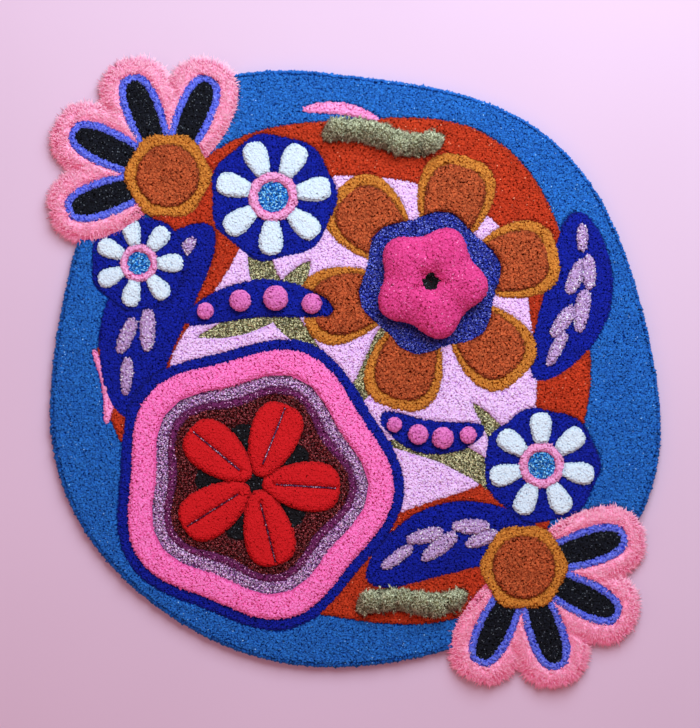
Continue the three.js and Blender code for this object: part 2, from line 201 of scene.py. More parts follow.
YARNS: dict[Yarn, YarnSpec] = {
    Yarn.CERULEAN: YarnSpec(
        "053893", "0d57bf", "3188e8", 0.013, 0.0035, spread=0.36, glints=0.003, glint="9cc8f4"
    ),
    Yarn.RUST: YarnSpec("841203", "be2d0b", "ea4921", 0.0145, spread=0.32, glints=0.004, glint="f0a080"),
    Yarn.LILAC: YarnSpec("eab1ff", "fabaff", "fad9ff", 0.014, spread=0.04),
    Yarn.SLIVER: YarnSpec("e05799", "ff90df", "ffbef3", 0.0135, spread=0.14, glow=0.15),
    Yarn.ROYAL: YarnSpec("01055f", "020e90", "0623c1", 0.013, spread=0.36),
    Yarn.MAUVE: YarnSpec("8c65a1", "c192d7", "e8c0f5", 0.016, 0.0035, spread=0.22, glints=0.07),
    Yarn.OLIVE: foil("4c4525", "bcb180", "dadbc5", top=0.0115, glints=0.16, glint="f2e6b4"),
    Yarn.RIBBON: YarnSpec("e75ca5", "fc66c2", "fc94e0", 0.0185, 0.006, glow=0.15),
    Yarn.SILVER: foil("652d71", "d986df", "e9dbec", top=0.0125, glints=0.22, glint="f2ccf6", roughness=0.4),
    Yarn.PLUM: YarnSpec("350328", "65114c", "90317b", 0.012, spread=0.32, glints=0.05, glint="f0b0e0"),
    Yarn.MAROON: foil("280205", "630913", "95212d", top=0.0115, glints=0.08, glint="b04850"),
    Yarn.BLACK: black("010102", "07050a", "1d1822", 0.011),
    Yarn.RED: felt("b2060f", "cc040c", "e41520", top=0.017, round=0.0065, pitch=0.002, spread=0.08),
    Yarn.OCHRE: YarnSpec("90440b", "d37621", "f9a044", 0.015, 0.0025, spread=0.3),
    Yarn.BROWN: YarnSpec("601803", "b13911", "f37643", 0.018, 0.0035, spread=0.5),
    Yarn.NAVY: foil(
        "0f1478", "2b3ac0", "5a68e6", top=0.0135, glints=0.04, glint="868ee6", metal=0.15, roughness=0.45
    ),
    Yarn.WHITE: felt("c2d4fa", "d4e4ff", "ebf4ff", top=0.017, round=0.0045, pitch=0.002, spread=0.05),
    Yarn.ROSE: YarnSpec("de5897", "ff9ada", "ffc7f9", 0.016, 0.0035, glow=0.05),
    Yarn.TEAL: foil(
        "0856c2", "1c8df5", "4cc6f5", top=0.013, spread=0.25, glints=0.14, glint="a8e4ff", roughness=0.4
    ),
    Yarn.CHANNEL: foil("605a3c", "a8a074", "d8d2a8", top=0.009, glints=0.12, glint="f6f2c8", roughness=0.45),
    Yarn.CORAL: YarnSpec(
        "ff8abb", "ffaed5", "ffd2ea",
        pitch=0.0037, nap=Nap.STRAND, spread=0.04, roughness=0.7, sheen=0.9, glow=0.38,
    ),
    Yarn.ULTRAMARINE: YarnSpec("2e3cea", "5766ff", "8f9aff", 0.013, spread=0.24),
    Yarn.CORE: black("010104", "05060e", "16182a", 0.012),
    Yarn.TINSEL: foil(
        "6c6446", "eae1b8", "ffffee",
        pitch=0.0040, spread=0.35, glints=0.32, glint="fff8d8", metal=0.25, roughness=0.3,
    ),
    Yarn.HOT_PINK: felt(
        "b4145e", "da2278", "fa54a6", pitch=0.0036, spread=0.2, glints=0.012, glint="ff9cd0", glow=0.05
    ),
    Yarn.BERRY: felt("a63e92", "e05cbc", "ff96de", pitch=0.0036, spread=0.12, glow=0.05),
    Yarn.THREAD: foil(
        "3a143c", "6c3a70", "a070a4", pitch=0.003, spread=0.2, glints=0.05, glint="e8c8ec", roughness=0.5
    ),
}

# Yarns of the pieces that are sewn on
APART = (Yarn.CORAL, Yarn.ULTRAMARINE, Yarn.CORE, Yarn.TINSEL, Yarn.HOT_PINK, Yarn.BERRY, Yarn.THREAD)


def unit(angle: float) -> Array:
    """Returns the flat direction at an angle in degrees."""
    return np.array([math.cos(math.radians(angle)), math.sin(math.radians(angle))])


def left_of(ahead: Array) -> Array:
    """Returns the flat direction to the left of another."""
    return np.array([-ahead[1], ahead[0]])


@dataclass(frozen=True)
class RoundMotif:
    """A round field whose radius waves with the angle.

    Attributes:
        yarn: yarn that fills it.
        x: middle, along X.
        y: middle, along Y.
        radius: mean radius.
        waves: count, share of the radius and phase of each wave.
        square: two for a circle, more for a squarer one.
    """

    yarn: Yarn
    x: float
    y: float
    radius: float
    waves: tuple[tuple[int, float, float], ...] = ()
    square: float = 2.0

    @property
    def hold(self) -> tuple[float, float, float]:
        """Returns the middle and radius of a circle that holds the motif."""
        return self.x, self.y, 1.3 * self.radius

    def reach(self, angle: Array) -> Array:
        """Finds the radius at each angle.

        Args:
            angle: the angles, in radians.

        Returns:
            The radii.
        """
        power = self.square
        corner = (np.abs(np.cos(angle)) ** power + np.abs(np.sin(angle)) ** power) ** (-1 / power)
        waves = (share * np.cos(count * angle + math.radians(phase)) for count, share, phase in self.waves)
        return self.radius * corner * (1 + sum(waves))

    def depth(self, points: Array) -> Array:
        """Returns how far each point lies inside the edge, below zero outside it."""
        away = points - np.array([self.x, self.y])
        return self.reach(np.arctan2(away[:, 1], away[:, 0])) - np.hypot(away[:, 0], away[:, 1])

    def outline(self) -> Array:
        """Returns points all the way round the edge, anticlockwise."""
        angle = np.linspace(0, 2 * math.pi, ROUND_STEPS, endpoint=False)
        reach = self.reach(angle)
        return np.column_stack([self.x + reach * np.cos(angle), self.y + reach * np.sin(angle)])


@dataclass(frozen=True)
class LeafMotif:
    """A leaf, petal, spot or bar that runs from its root along its heading.

    Attributes:
        yarn: yarn that fills it.
        x: root, along X.
        y: root, along Y.
        angle: heading.
        length: length along the heading.
        width: greatest width.
        point: above one for pointed ends, below one for blunt ones.
        skew: above zero where the widest place lies beyond the middle.
        bend: sideways bow of the middle line.
        wave: sideways wave of the middle line.
    """

    yarn: Yarn
    x: float
    y: float
    angle: float
    length: float
    width: float
    point: float = 1.0
    skew: float = 0.0
    bend: float = 0.0
    wave: float = 0.0

    @property
    def hold(self) -> tuple[float, float, float]:
        """Returns the middle and radius of a circle that holds the motif."""
        return *self.place(0.5), 0.55 * self.length + 0.3 * self.width

    def middle(self, along: Array) -> Array:
        """Returns the middle line's sideways place at each share of the length."""
        return self.bend * np.sin(math.pi * along) + self.wave * np.sin(2 * math.pi * along)

    def half(self, along: Array) -> Array:
        """Returns half the width at each share of the length."""
        turn = np.arccos(np.clip(1 - 2 * along, -1, 1))
        return self.width / 2 * np.sin(turn) ** self.point * (1 - self.skew * np.cos(turn))

    def local(self, points: Array) -> tuple[Array, Array]:
        """Returns each point's place along and across the heading."""
        away, ahead = points - np.array([self.x, self.y]), unit(self.angle)
        return away @ ahead, away @ left_of(ahead)

    def depth(self, points: Array) -> Array:
        """Finds about how far each point lies inside the edge.

        Args:
            points: flat places, one row each.

        Returns:
            The distances, below zero outside the edge.
        """
        along, across = self.local(points)
        share = np.clip(along / self.length, 0, 1)
        small = 0.01
        low, high = np.clip(share - small, 0, 1), np.clip(share + small, 0, 1)
        run = (high - low) * self.length
        side = across - self.middle(share)
        slope = (self.half(high) - self.half(low)) / run
        lean = (self.middle(high) - self.middle(low)) / run
        gap = self.half(share) - np.abs(side)
        gap = gap / np.sqrt(1 + (slope - np.sign(side) * lean) ** 2)
        beyond = np.maximum(-along, along - self.length)
        return np.where(beyond > 0, -np.hypot(beyond, side), gap)

    def place(self, along: float, across: float = 0.0) -> Array:
        """Finds a point of the leaf.

        Args:
            along: share of the length.
            across: share of the width, off the middle line.

        Returns:
            The point.
        """
        side = float(self.middle(np.array([along]))[0]) + across * self.width
        ahead = unit(self.angle)
        return np.array([self.x, self.y]) + ahead * self.length * along + left_of(ahead) * side

    def outline(self) -> Array:
        """Returns points all the way round the edge, anticlockwise."""
        share = (1 - np.cos(np.linspace(0, math.pi, LEAF_STEPS))) / 2
        middle, half = self.middle(share), self.half(share)
        along = np.concatenate([share, share[-2:0:-1]]) * self.length
        across = np.concatenate([middle - half, (middle + half)[-2:0:-1]])
        ahead = unit(self.angle)
        return np.array([self.x, self.y]) + np.outer(along, ahead) + np.outer(across, left_of(ahead))


Motif = RoundMotif | LeafMotif


def whorl(
    yarn: Yarn, centre: Pair, count: int, phase: float, inner: float, size: Pair, shape: Pair
) -> list[Motif]:
    """Lays petals around a centre.

    Args:
        yarn: yarn of the petals.
        centre: the flower's middle.
        count: number of petals.
        phase: heading of the first petal.
        inner: distance of each root from the middle.
        size: length and width of a petal.
        shape: point and skew of a petal.

    Returns:
        The petals.
    """
    petals = []
    for number in range(count):
        angle = phase + 360 * number / count
        root = np.array(centre) + inner * unit(angle)
        petals.append(LeafMotif(yarn, root[0], root[1], angle, *size, *shape))
    return petals


@dataclass
class Layout:
    """The rug's motifs, in the order in which later ones cover earlier ones."""

    fields: tuple[RoundMotif, ...] = (
        RoundMotif(Yarn.CERULEAN, 0.0, 0.0, 0.366, ((2, 0.02, 60), (3, 0.022, 40), (5, 0.02, 110)), 2.3),
        RoundMotif(Yarn.RUST, 0.002, 0.004, 0.306, ((2, 0.03, 160), (3, 0.035, 200), (6, 0.022, 10)), 2.15),
        RoundMotif(Yarn.LILAC, 0.008, 0.014, 0.222, ((2, 0.07, 280), (3, 0.05, 80), (5, 0.035, 150)), 2.1),
    )
    slivers: tuple[LeafMotif, ...] = (
        LeafMotif(Yarn.SLIVER, -0.318, 0.024, -80, 0.092, 0.015, 0.9, 0.0, 0.010),
        LeafMotif(Yarn.SLIVER, 0.300, 0.060, 98, 0.090, 0.014, 0.9, 0.0, -0.009),
        LeafMotif(Yarn.SLIVER, -0.060, 0.322, -8, 0.096, 0.014, 0.9, 0.0, 0.008),
    )
    spotted: tuple[LeafMotif, ...] = (
        LeafMotif(Yarn.ROYAL, -0.282, -0.058, 66, 0.262, 0.100, 1.1, 0.0, 0.026),
        LeafMotif(Yarn.ROYAL, 0.018, -0.258, 14, 0.226, 0.088, 1.1, 0.0, 0.024),
        LeafMotif(Yarn.ROYAL, 0.232, -0.014, 76, 0.216, 0.084, 1.1, 0.0, -0.022),
    )
    # Along the leaf, across it, turn, length, width
    spots: tuple[tuple[float, float, float, float, float], ...] = (
        (0.10, 0.00, 4, 0.046, 0.014),
        (0.27, 0.17, -12, 0.046, 0.017),
        (0.33, -0.17, 14, 0.052, 0.018),
        (0.53, 0.15, -14, 0.046, 0.018),
        (0.58, -0.15, 12, 0.042, 0.016),
        (0.78, 0.00, 0, 0.034, 0.013),
    )
    slender: tuple[LeafMotif, ...] = (
        LeafMotif(Yarn.OLIVE, -0.020, -0.060, 62, 0.130, 0.030, 1.3, 0.2, -0.014),
        LeafMotif(Yarn.OLIVE, -0.030, 0.010, 118, 0.196, 0.036, 1.3, 0.2, 0.022),
        LeafMotif(Yarn.OLIVE, 0.040, -0.090, -24, 0.180, 0.034, 1.3, 0.2, 0.022),
        LeafMotif(Yarn.OLIVE, -0.190, 0.040, 34, 0.170, 0.034, 1.3, 0.2, -0.020),
        LeafMotif(Yarn.OLIVE, 0.150, -0.040, -66, 0.120, 0.026, 1.3, 0.2, 0.012),
    )
    bloom: Pair = (-0.118, -0.140)
    # Yarn, radius, share and phase of the five lobes
    bloom_rings: tuple[tuple[Yarn, float, float, float], ...] = (
        (Yarn.ROYAL, 0.176, 0.05, 18),
        (Yarn.RIBBON, 0.162, 0.055, 18),
        (Yarn.SILVER, 0.132, 0.065, 18),
        (Yarn.PLUM, 0.117, 0.075, 18),
        (Yarn.MAROON, 0.107, 0.09, 18),
        (Yarn.BLACK, 0.066, 0.14, 198),
    )
    star: Pair = (0.098, 0.108)
    star_phase: float = 14
    star_seat: float = 0.086
    star_petals: tuple[tuple[Yarn, Pair], ...] = ((Yarn.OCHRE, (0.112, 0.092)), (Yarn.BROWN, (0.098, 0.070)))
    # Middle, radius and heading of the first petal
    daisies: tuple[tuple[float, float, float, float], ...] = (
        (-0.096, 0.214, 0.066, 10),
        (0.236, -0.118, 0.060, 40),
        (-0.262, 0.132, 0.050, 0),
    )
    crescents: tuple[LeafMotif, ...] = (
        LeafMotif(Yarn.ROYAL, -0.206, 0.062, 4, 0.186, 0.046, 0.8, 0.0, 0.020),
        LeafMotif(Yarn.ROYAL, 0.036, -0.058, -8, 0.130, 0.042, 0.8, 0.0, -0.016),
    )
    garlands: tuple[LeafMotif, ...] = (
        LeafMotif(Yarn.CHANNEL, -0.036, 0.290, -2, 0.152, 0.030, 0.42, 0.0, 0.0, 0.009),
        LeafMotif(Yarn.CHANNEL, 0.006, -0.296, 8, 0.140, 0.028, 0.42, 0.0, 0.0, 0.008),
    )
    # Hub and heading of each fan
    fans: tuple[tuple[float, float, float], ...] = ((-0.226, 0.240, 133), (0.214, -0.244, -49))
    fan_spread: tuple[float, ...] = (-66, -22, 22, 66)
    fan_petal: Pair = (0.152, 0.088)
    # How far each band of a fan is drawn in from the petal's edge
    fan_insets: tuple[tuple[Yarn, float], ...] = (
        (Yarn.CORAL, 0.0), (Yarn.ULTRAMARINE, 0.021), (Yarn.CORE, 0.029)
    )
    hubs: tuple[tuple[Yarn, float, float], ...] = ((Yarn.OCHRE, 0.052, 0.04), (Yarn.BROWN, 0.038, 0.0))

    def spot_motifs(self, leaf: LeafMotif) -> list[Motif]:
        """Lays the oval spots that follow a leaf's bow.

        Args:
            leaf: the leaf.

        Returns:
            The spots.
        """
        motifs = []
        for along, across, turn, length, width in self.spots:
            root = leaf.place(along, across)
            slope = math.degrees(math.atan(leaf.bend * math.pi * math.cos(math.pi * along) / leaf.length))
            angle = leaf.angle + turn + slope
            motifs.append(LeafMotif(Yarn.MAUVE, root[0], root[1], angle, length, width, 0.7, 0.1))
        return motifs

    def bloom_motifs(self) -> list[Motif]:
        """Returns the five-lobed bloom's rings and its raised petals."""
        rings = [
            RoundMotif(yarn, *self.bloom, radius, ((5, *wave),)) for yarn, radius, *wave in self.bloom_rings
        ]
        return rings + whorl(Yarn.RED, self.bloom, 5, -3.6, 0.010, (0.094, 0.058), (0.75, 0.3))

    def star_motifs(self) -> list[Motif]:
        """Returns the six-petalled star flower and the seat of its heart."""
        found: list[Motif] = []
        for yarn, size in self.star_petals:
            found += whorl(yarn, self.star, 6, self.star_phase, 0.050, size, (0.72, 0.22))
        wave = (6, 0.06, 6 * self.star_phase + 180)
        return [*found, RoundMotif(Yarn.NAVY, *self.star, self.star_seat, (wave,))]

    def daisy_motifs(self) -> list[Motif]:
        """Returns the daisies: disc, felted petals, ring and eye."""
        motifs: list[Motif] = []
        for x, y, radius, phase in self.daisies:
            motifs.append(RoundMotif(Yarn.ROYAL, x, y, 1.18 * radius, ((7, 0.03, 0),)))
            size = (0.72 * radius, 0.40 * radius)
            motifs += whorl(Yarn.WHITE, (x, y), 7, phase, 0.36 * radius, size, (0.7, 0.35))
            motifs.append(RoundMotif(Yarn.ROSE, x, y, 0.46 * radius))
            motifs.append(RoundMotif(Yarn.TEAL, x, y, 0.30 * radius))
        return motifs

    def fan_petals(self, yarn: Yarn, inset: float = 0.0) -> list[LeafMotif]:
        """Lays both fans' petals.

        Args:
            yarn: yarn of the petals.
            inset: how far they are drawn in.

        Returns:
            The petals, those of the upper fan first.
        """
        petals = []
        for x, y, heading in self.fans:
            for offset in self.fan_spread:
                angle = heading + offset
                root = np.array([x, y]) + inset / 2 * unit(angle)
                length, width = self.fan_petal[0] - 1.4 * inset, self.fan_petal[1] - 2 * inset
                petals.append(LeafMotif(yarn, root[0], root[1], angle, length, width, 0.8, 0.25))
        return petals

    def motifs(self) -> list[Motif]:
        """Returns every motif, bottom one first."""
        found: list[Motif] = [*self.fields, *self.slivers]
        for leaf in self.spotted:
            found += [leaf, *self.spot_motifs(leaf)]
        found += [*self.slender, *self.bloom_motifs(), *self.star_motifs(), *self.daisy_motifs()]
        found += [*self.crescents, *self.garlands]
        for yarn, inset in self.fan_insets:
            found += self.fan_petals(yarn, inset)
        for x, y, _ in self.fans:
            found += [RoundMotif(yarn, x, y, radius, ((6, share, 0),)) for yarn, radius, share in self.hubs]
        return found


@dataclass
class Zones:
    """Tells which yarn lies at a point, and how far off its edge is."""

    motifs: list[Motif]

    def read(self, points: Array) -> tuple[Array, Array]:
        """Reads the layout at many points.

        Args:
            points: flat places, one row each.

        Returns:
            The topmost motif's index, or -1 off the rug, and the distance to the nearest edge that shows.
        """
        owner = np.full(len(points), -1)
        edge = np.full(len(points), NEAR)
        for index, motif in enumerate(self.motifs):
            x, y, radius = motif.hold
            near = np.flatnonzero(np.hypot(points[:, 0] - x, points[:, 1] - y) < radius + NEAR)
            depth = motif.depth(points[near])
            inside = depth > 0
            owner[near[inside]] = index
            edge[near] = np.where(inside, np.minimum(depth, NEAR), np.minimum(edge[near], -depth))
        return owner, edge

    def show(self, owner: Array, yarn: Yarn) -> Array:
        """Returns a mask of the points whose topmost motif has the yarn."""
        return np.isin(owner, [index for index, motif in enumerate(self.motifs) if motif.yarn is yarn])


@dataclass
class Tufts:
    """Tufts to plant: one row of each array for a tuft.

    Attributes:
        base: root of each tuft.
        axis: unit direction in which it stands.
        length: its length.
        width: its width.
        sag: how far its tip is drawn aside.
        dark: how much of its light the pile beside it takes, from zero to one.
        face: unit direction that its shading leans to.
    """

    base: Array
    axis: Array
    length: Array
    width: Array
    sag: Array
    dark: Array
    face: Array

    @staticmethod
    def joined(parts: Sequence["Tufts"]) -> "Tufts":
        """Returns several sets of tufts as one."""
        names = [item.name for item in fields(Tufts)]
        return Tufts(*(np.concatenate([getattr(part, name) for part in parts]) for name in names))

    def chosen(self, mask: Array) -> "Tufts":
        """Returns the tufts that a mask picks."""
        return Tufts(*(getattr(self, item.name)[mask] for item in fields(Tufts)))


def standing(
    base: Array,
    axis: Array,
    length: Array,
    width: float,
    rng: Chance,
    sag: Array | None = None,
    dark: Array | None = None,
    face: Array | None = None,
) -> Tufts:
    """Stands tufts on their roots.

    Args:
        base: the roots.
        axis: the directions, of any length.
        length: the lengths.
        width: the mean width.
        rng: source of the small differences.
        sag: how far each tip is drawn aside, if it is.
        dark: how much of its light the pile beside each takes, if any.
        face: the directions that the shading leans to, if not those in which the tufts stand.

    Returns:
        The tufts.
    """
    count = len(base)
    axis = axis / np.linalg.norm(axis, axis=1)[:, None]
    return Tufts(
        base,
        axis,
        length,
        width * rng.normal(1, 0.1, count),
        np.zeros((count, 3)) if sag is None else sag,
        np.zeros(count) if dark is None else dark,
        axis if face is None else face / np.linalg.norm(face, axis=1)[:, None],
    )


class Template:
    """Shape of one tuft, one unit tall and about one unit wide, as triangles."""

    def __init__(self, build: Callable[[Shape], None]) -> None:
        """Builds the shape in a fresh mesh and reads its triangles.

        Args:
            build: shapes the tuft in a mesh.
        """
        shape = bmesh.new()
        build(shape)
        bmesh.ops.recalc_face_normals(shape, faces=shape.faces[:])
        bmesh.ops.triangulate(shape, faces=shape.faces[:])
        shape.verts.index_update()
        self.points = np.array([vertex.co[:] for vertex in shape.verts])
        self.faces = np.array([[vertex.index for vertex in face.verts] for face in shape.faces])
        shape.free()


def crown(shape: Shape, sides: int, jag: float, dish: float) -> None:
    """Shapes a clipped tuft: a point at its root, wide at its crown, uneven at its cut end.

    Args:
        shape: mesh to build in.
        sides: number of sides.
        jag: how far every other crown point stands up.
        dish: how far the middle of the cut end stands above the crown's rim.
    """
    depth = 1 - dish
    bmesh.ops.create_cone(shape, cap_ends=True, segments=sides, radius1=0, radius2=0.55, depth=depth)
    bmesh.ops.remove_doubles(shape, verts=shape.verts[:], dist=1e-4)
    bmesh.ops.translate(shape, verts=shape.verts[:], vec=(0, 0, depth / 2))
    top = max(shape.faces, key=lambda face: face.calc_center_median().z)
    for number, vertex in enumerate(top.verts):
        vertex.co.z += jag if number % 2 else -0.3 * jag
    bmesh.ops.poke(shape, faces=[top], offset=dish)


def loop_knob(shape: Shape) -> None:
    """Shapes one loop of uncut pile as a rounded knob.

    Args:
        shape: mesh to build in.
    """
    bmesh.ops.create_icosphere(shape, subdivisions=1, radius=0.56)
    bmesh.ops.scale(shape, verts=shape.verts[:], vec=(1.15, 0.85, 0.9))
    bmesh.ops.translate(shape, verts=shape.verts[:], vec=(0, 0, 0.5))


def foil_spray(shape: Shape) -> None:
    """Shapes a spray of four slim metallic blades.

    Args:
        shape: mesh to build in.
    """
    for number, (lean, heading) in enumerate(((0.30, 20), (0.42, 115), (0.36, 205), (0.50, 300))):
        made = bmesh.ops.create_cone(shape, cap_ends=True, segments=3, radius1=0.20, radius2=0, depth=1.0)
        blade = made["verts"]
        bmesh.ops.scale(shape, verts=blade, vec=(1.5, 0.7, 1 - 0.08 * number))
        bmesh.ops.translate(shape, verts=blade, vec=(0, 0, 0.5))
        turn = Matrix.Rotation(math.radians(heading), 3, "Z") @ Matrix.Rotation(lean, 3, "Y")
        bmesh.ops.rotate(shape, verts=blade, cent=(0, 0, 0), matrix=turn)


def strand(shape: Shape) -> None:
    """Shapes one long strand with a joint halfway and a fine tip.

    Args:
        shape: mesh to build in.
    """
    bmesh.ops.create_circle(shape, cap_ends=True, segments=3, radius=0.5)
    grown = bmesh.ops.extrude_face_region(shape, geom=shape.faces[:], use_keep_orig=True)
    joint = [part for part in grown["geom"] if isinstance(part, bmesh.types.BMVert)]
    end = [part for part in grown["geom"] if isinstance(part, bmesh.types.BMFace)]
    bmesh.ops.translate(shape, verts=joint, vec=(0, 0, 0.5))
    bmesh.ops.poke(shape, faces=end, offset=0.5)


TEMPLATES: dict[Nap, Template] = {
    Nap.CUT: Template(lambda shape: crown(shape, 3, 0.0, 0.22)),
    Nap.LOOP: Template(loop_knob),
    Nap.FELT: Template(lambda shape: crown(shape, 4, 0.03, 0.14)),
    Nap.FOIL: Template(foil_spray),
    Nap.STRAND: Template(strand),
}


def linked(name: str, data: bpy.types.ID) -> Piece:
    """Returns a new object for a mesh, a lamp or a camera, in the scene."""
    piece = bpy.data.objects.new(name, data)
    bpy.context.scene.collection.objects.link(piece)
    return piece


def ride(piece: Piece, slot: str, *nodes: str) -> Piece:
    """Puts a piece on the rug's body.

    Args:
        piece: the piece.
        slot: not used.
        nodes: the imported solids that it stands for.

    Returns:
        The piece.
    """
    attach(piece, "root")
    if nodes:
        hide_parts(*nodes)
    return piece


def mesh_piece(name: str, points: Array, faces: Array, smooth: bool) -> Piece:
    """Makes an object from arrays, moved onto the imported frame.

    Args:
        name: name of the piece.
        points: its points, one row each.
        faces: the points of each triangle.
        smooth: whether it is shaded smooth.

    Returns:
        The piece.
    """
    mesh = bpy.data.meshes.new(name)
    mesh.vertices.add(len(points))
    placed = points + np.array([SHIFT[0], SHIFT[1], 0.0])
    mesh.vertices.foreach_set("co", placed.astype(np.float32).reshape(-1))
    mesh.loops.add(faces.size)
    mesh.loops.foreach_set("vertex_index", faces.astype(np.int32).reshape(-1))
    mesh.polygons.add(len(faces))
    mesh.polygons.foreach_set("loop_start", np.arange(0, faces.size, 3, dtype=np.int32))
    mesh.update(calc_edges=True)
    if smooth:
        mesh.shade_smooth()
    return linked(name, mesh)


def plant(name: str, tufts: Tufts, nap: Nap, material: Material, slot: str, rng: Chance) -> Piece:
    """Joins copies of a tuft into one piece on the rug's body.

    Args:
        name: name of the piece.
        tufts: where the tufts stand and how.
        nap: which tuft shape they have.
        material: their material.
        slot: their material slot.
        rng: source of the small differences between them.

    Returns:
        The piece, with a shade and a lift on every point for its material.
    """
    shape = TEMPLATES[nap]
    count, corners = len(tufts.length), len(shape.points)
    spin = rng.uniform(0, 2 * math.pi, count)
    helper = np.where(np.abs(tufts.axis[:, 2:3]) < 0.9, [[0.0, 0.0, 1.0]], [[1.0, 0.0, 0.0]])
    first = np.cross(helper, tufts.axis)
    first /= np.linalg.norm(first, axis=1)[:, None]
    second = np.cross(tufts.axis, first)
    side = first * np.cos(spin)[:, None] + second * np.sin(spin)[:, None]
    aside = np.cross(tufts.axis, side)
    local = np.repeat(shape.points[None], count, axis=0)
    local = local + rng.normal(0, ROUGH[nap], local.shape) * (local[:, :, 2:3] > 0.3)
    flat = local[:, :, 0:1] * side[:, None] + local[:, :, 1:2] * aside[:, None]
    points = tufts.base[:, None] + tufts.width[:, None, None] * flat
    points = points + (tufts.length[:, None] * local[:, :, 2])[:, :, None] * tufts.axis[:, None]
    points = points + (local[:, :, 2] ** 2)[:, :, None] * tufts.sag[:, None]
    points[:, :, 2] = np.maximum(points[:, :, 2], LOWEST)
    faces = shape.faces[None] + (np.arange(count) * corners)[:, None, None]
    piece = mesh_piece(name, points.reshape(-1, 3), faces.reshape(-1, 3), nap is not Nap.CUT)
    shade = np.repeat(rng.uniform(0, 1, count), corners)
    stored = {"shade": shade, "dark": np.repeat(tufts.dark, corners), "lift": local[:, :, 2].reshape(-1)}
    for label, values in stored.items():
        layer = piece.data.attributes.new(label, "FLOAT", "POINT")
        layer.data.foreach_set("value", values.astype(np.float32))
    layer = piece.data.attributes.new("stand", "FLOAT_VECTOR", "POINT")
    layer.data.foreach_set("vector", np.repeat(tufts.face, corners, axis=0).astype(np.float32).reshape(-1))
    piece.data.materials.append(material)
    return ride(piece, slot)


class FinishTree:
    """Builds one material's nodes."""

    def __init__(self, name: str) -> None:
        """Starts an empty material with a shader and its output.

        Args:
            name: name of the material.
        """
        self.material = bpy.data.materials.new(name)
        self.material.use_nodes = True
        self.tree = self.material.node_tree
        self.tree.nodes.clear()
        self.shader = self.node("BsdfPrincipled")
        self.node("OutputMaterial", {"Surface": self.shader.outputs["BSDF"]})

    def node(self, kind: str, inputs: Inputs | None = None, **settings: str | bool) -> bpy.types.Node:
        """Adds a node.

        Args:
            kind: the node's type, without its usual prefix.
            inputs: a link or a constant for each socket, by its name or its number.
            settings: the node's own settings.

        Returns:
            The node.
        """
        node = self.tree.nodes.new(f"ShaderNode{kind}")
        for name, value in settings.items():
            setattr(node, name, value)
        self.fill(node, inputs or {})
        return node

    def fill(self, node: bpy.types.Node, inputs: Inputs) -> None:
        """Links or sets a node's sockets.

        Args:
            node: the node.
            inputs: a link or a constant for each socket.
        """
        for name, value in inputs.items():
            if isinstance(value, Socket):
                self.tree.links.new(value, node.inputs[name])
            else:
                node.inputs[name].default_value = value

    def dress(self, **inputs: Socket | float | Colour) -> None:
        """Fills the shader's own sockets, with an underscore for each space in a name."""
        self.fill(self.shader, {name.replace("_", " "): value for name, value in inputs.items()})

    def field(self, name: str, part: str = "Fac") -> Socket:
        """Returns what is stored on the piece's points under a name."""
        return self.node("Attribute", attribute_name=name).outputs[part]

    def place(self) -> Socket:
        """Returns the object's own coordinates."""
        return self.node("TexCoord").outputs["Object"]

    def noise(self, scale: float, detail: float = 2.0) -> Socket:
        """Returns a cloudy number between zero and one."""
        inputs = {"Scale": scale, "Detail": detail, "Vector": self.place()}
        return self.node("TexNoise", inputs).outputs["Fac"]

    def speck(self, scale: float) -> Socket:
        """Returns a number between zero and one that jumps from cell to cell."""
        cells = self.node("TexVoronoi", {"Scale": scale, "Vector": self.place()})
        return self.node("SeparateColor", {"Color": cells.outputs["Color"]}).outputs["Red"]

    def sum(self, operation: str, first: Socket, second: Socket | float) -> Socket:
        """Returns a sum, product or other result of two numbers, kept between zero and one."""
        return self.node("Math", {0: first, 1: second}, operation=operation, use_clamp=True).outputs[0]

    def spread(self, value: Socket, low: float, high: float) -> Socket:
        """Returns a number moved from zero to one into another range."""
        return self.node("MapRange", {"To Min": low, "To Max": high, "Value": value}).outputs["Result"]

    def patches(self, scale: float, low: float, high: float) -> Socket:
        """Returns cloudy patches: a noise moved into a range and cut off at zero and one."""
        return self.sum("MULTIPLY", self.spread(self.noise(scale), low, high), 1.0)

    def blend(self, share: Socket, first: Socket, second: Socket | Colour) -> Socket:
        """Returns one colour laid over another by a share."""
        return self.node("Mix", {"Factor": share, 6: first, 7: second}, data_type="RGBA").outputs[2]

    def ramp(self, value: Socket, stops: Sequence[tuple[float, Colour]], way: str = "LINEAR") -> Socket:
        """Runs or steps a colour through stops.

        Args:
            value: the number, from zero to one.
            stops: place and colour of each stop.
            way: how the colour changes between them.

        Returns:
            The colour.
        """
        node = self.node("ValToRGB", {"Fac": value})
        scale = node.color_ramp
        scale.interpolation = way
        while len(scale.elements) < len(stops):
            scale.elements.new(0.5)
        for element, (place, colour) in zip(scale.elements, stops):
            element.position = place
            element.color = colour
        return node.outputs["Color"]

    def soft_facing(self, share: float) -> Socket:
        """Turns the facing towards each tuft's own, as light passes between its fibres.

        Args:
            share: how far it turns.

        Returns:
            The facing.
        """
        own, stand = self.node("NewGeometry").outputs["Normal"], self.field("stand", "Vector")
        mix = self.node("Mix", {"Factor": share, 4: own, 5: stand}, data_type="VECTOR")
        return self.node("VectorMath", {0: mix.outputs[1]}, operation="NORMALIZE").outputs[0]

    def bump(self, height: Socket, strength: float, distance: float, **facing: Socket) -> None:
        """Roughens the surface, or the facing given as Normal, by a height.

        Args:
            height: the height.
            strength: how strongly it shows.
            distance: how deep it is.
            facing: the facing that it roughens, if not the surface's own.
        """
        node = self.node("Bump", {"Strength": strength, "Distance": distance, "Height": height, **facing})
        self.dress(Normal=node.outputs["Normal"])


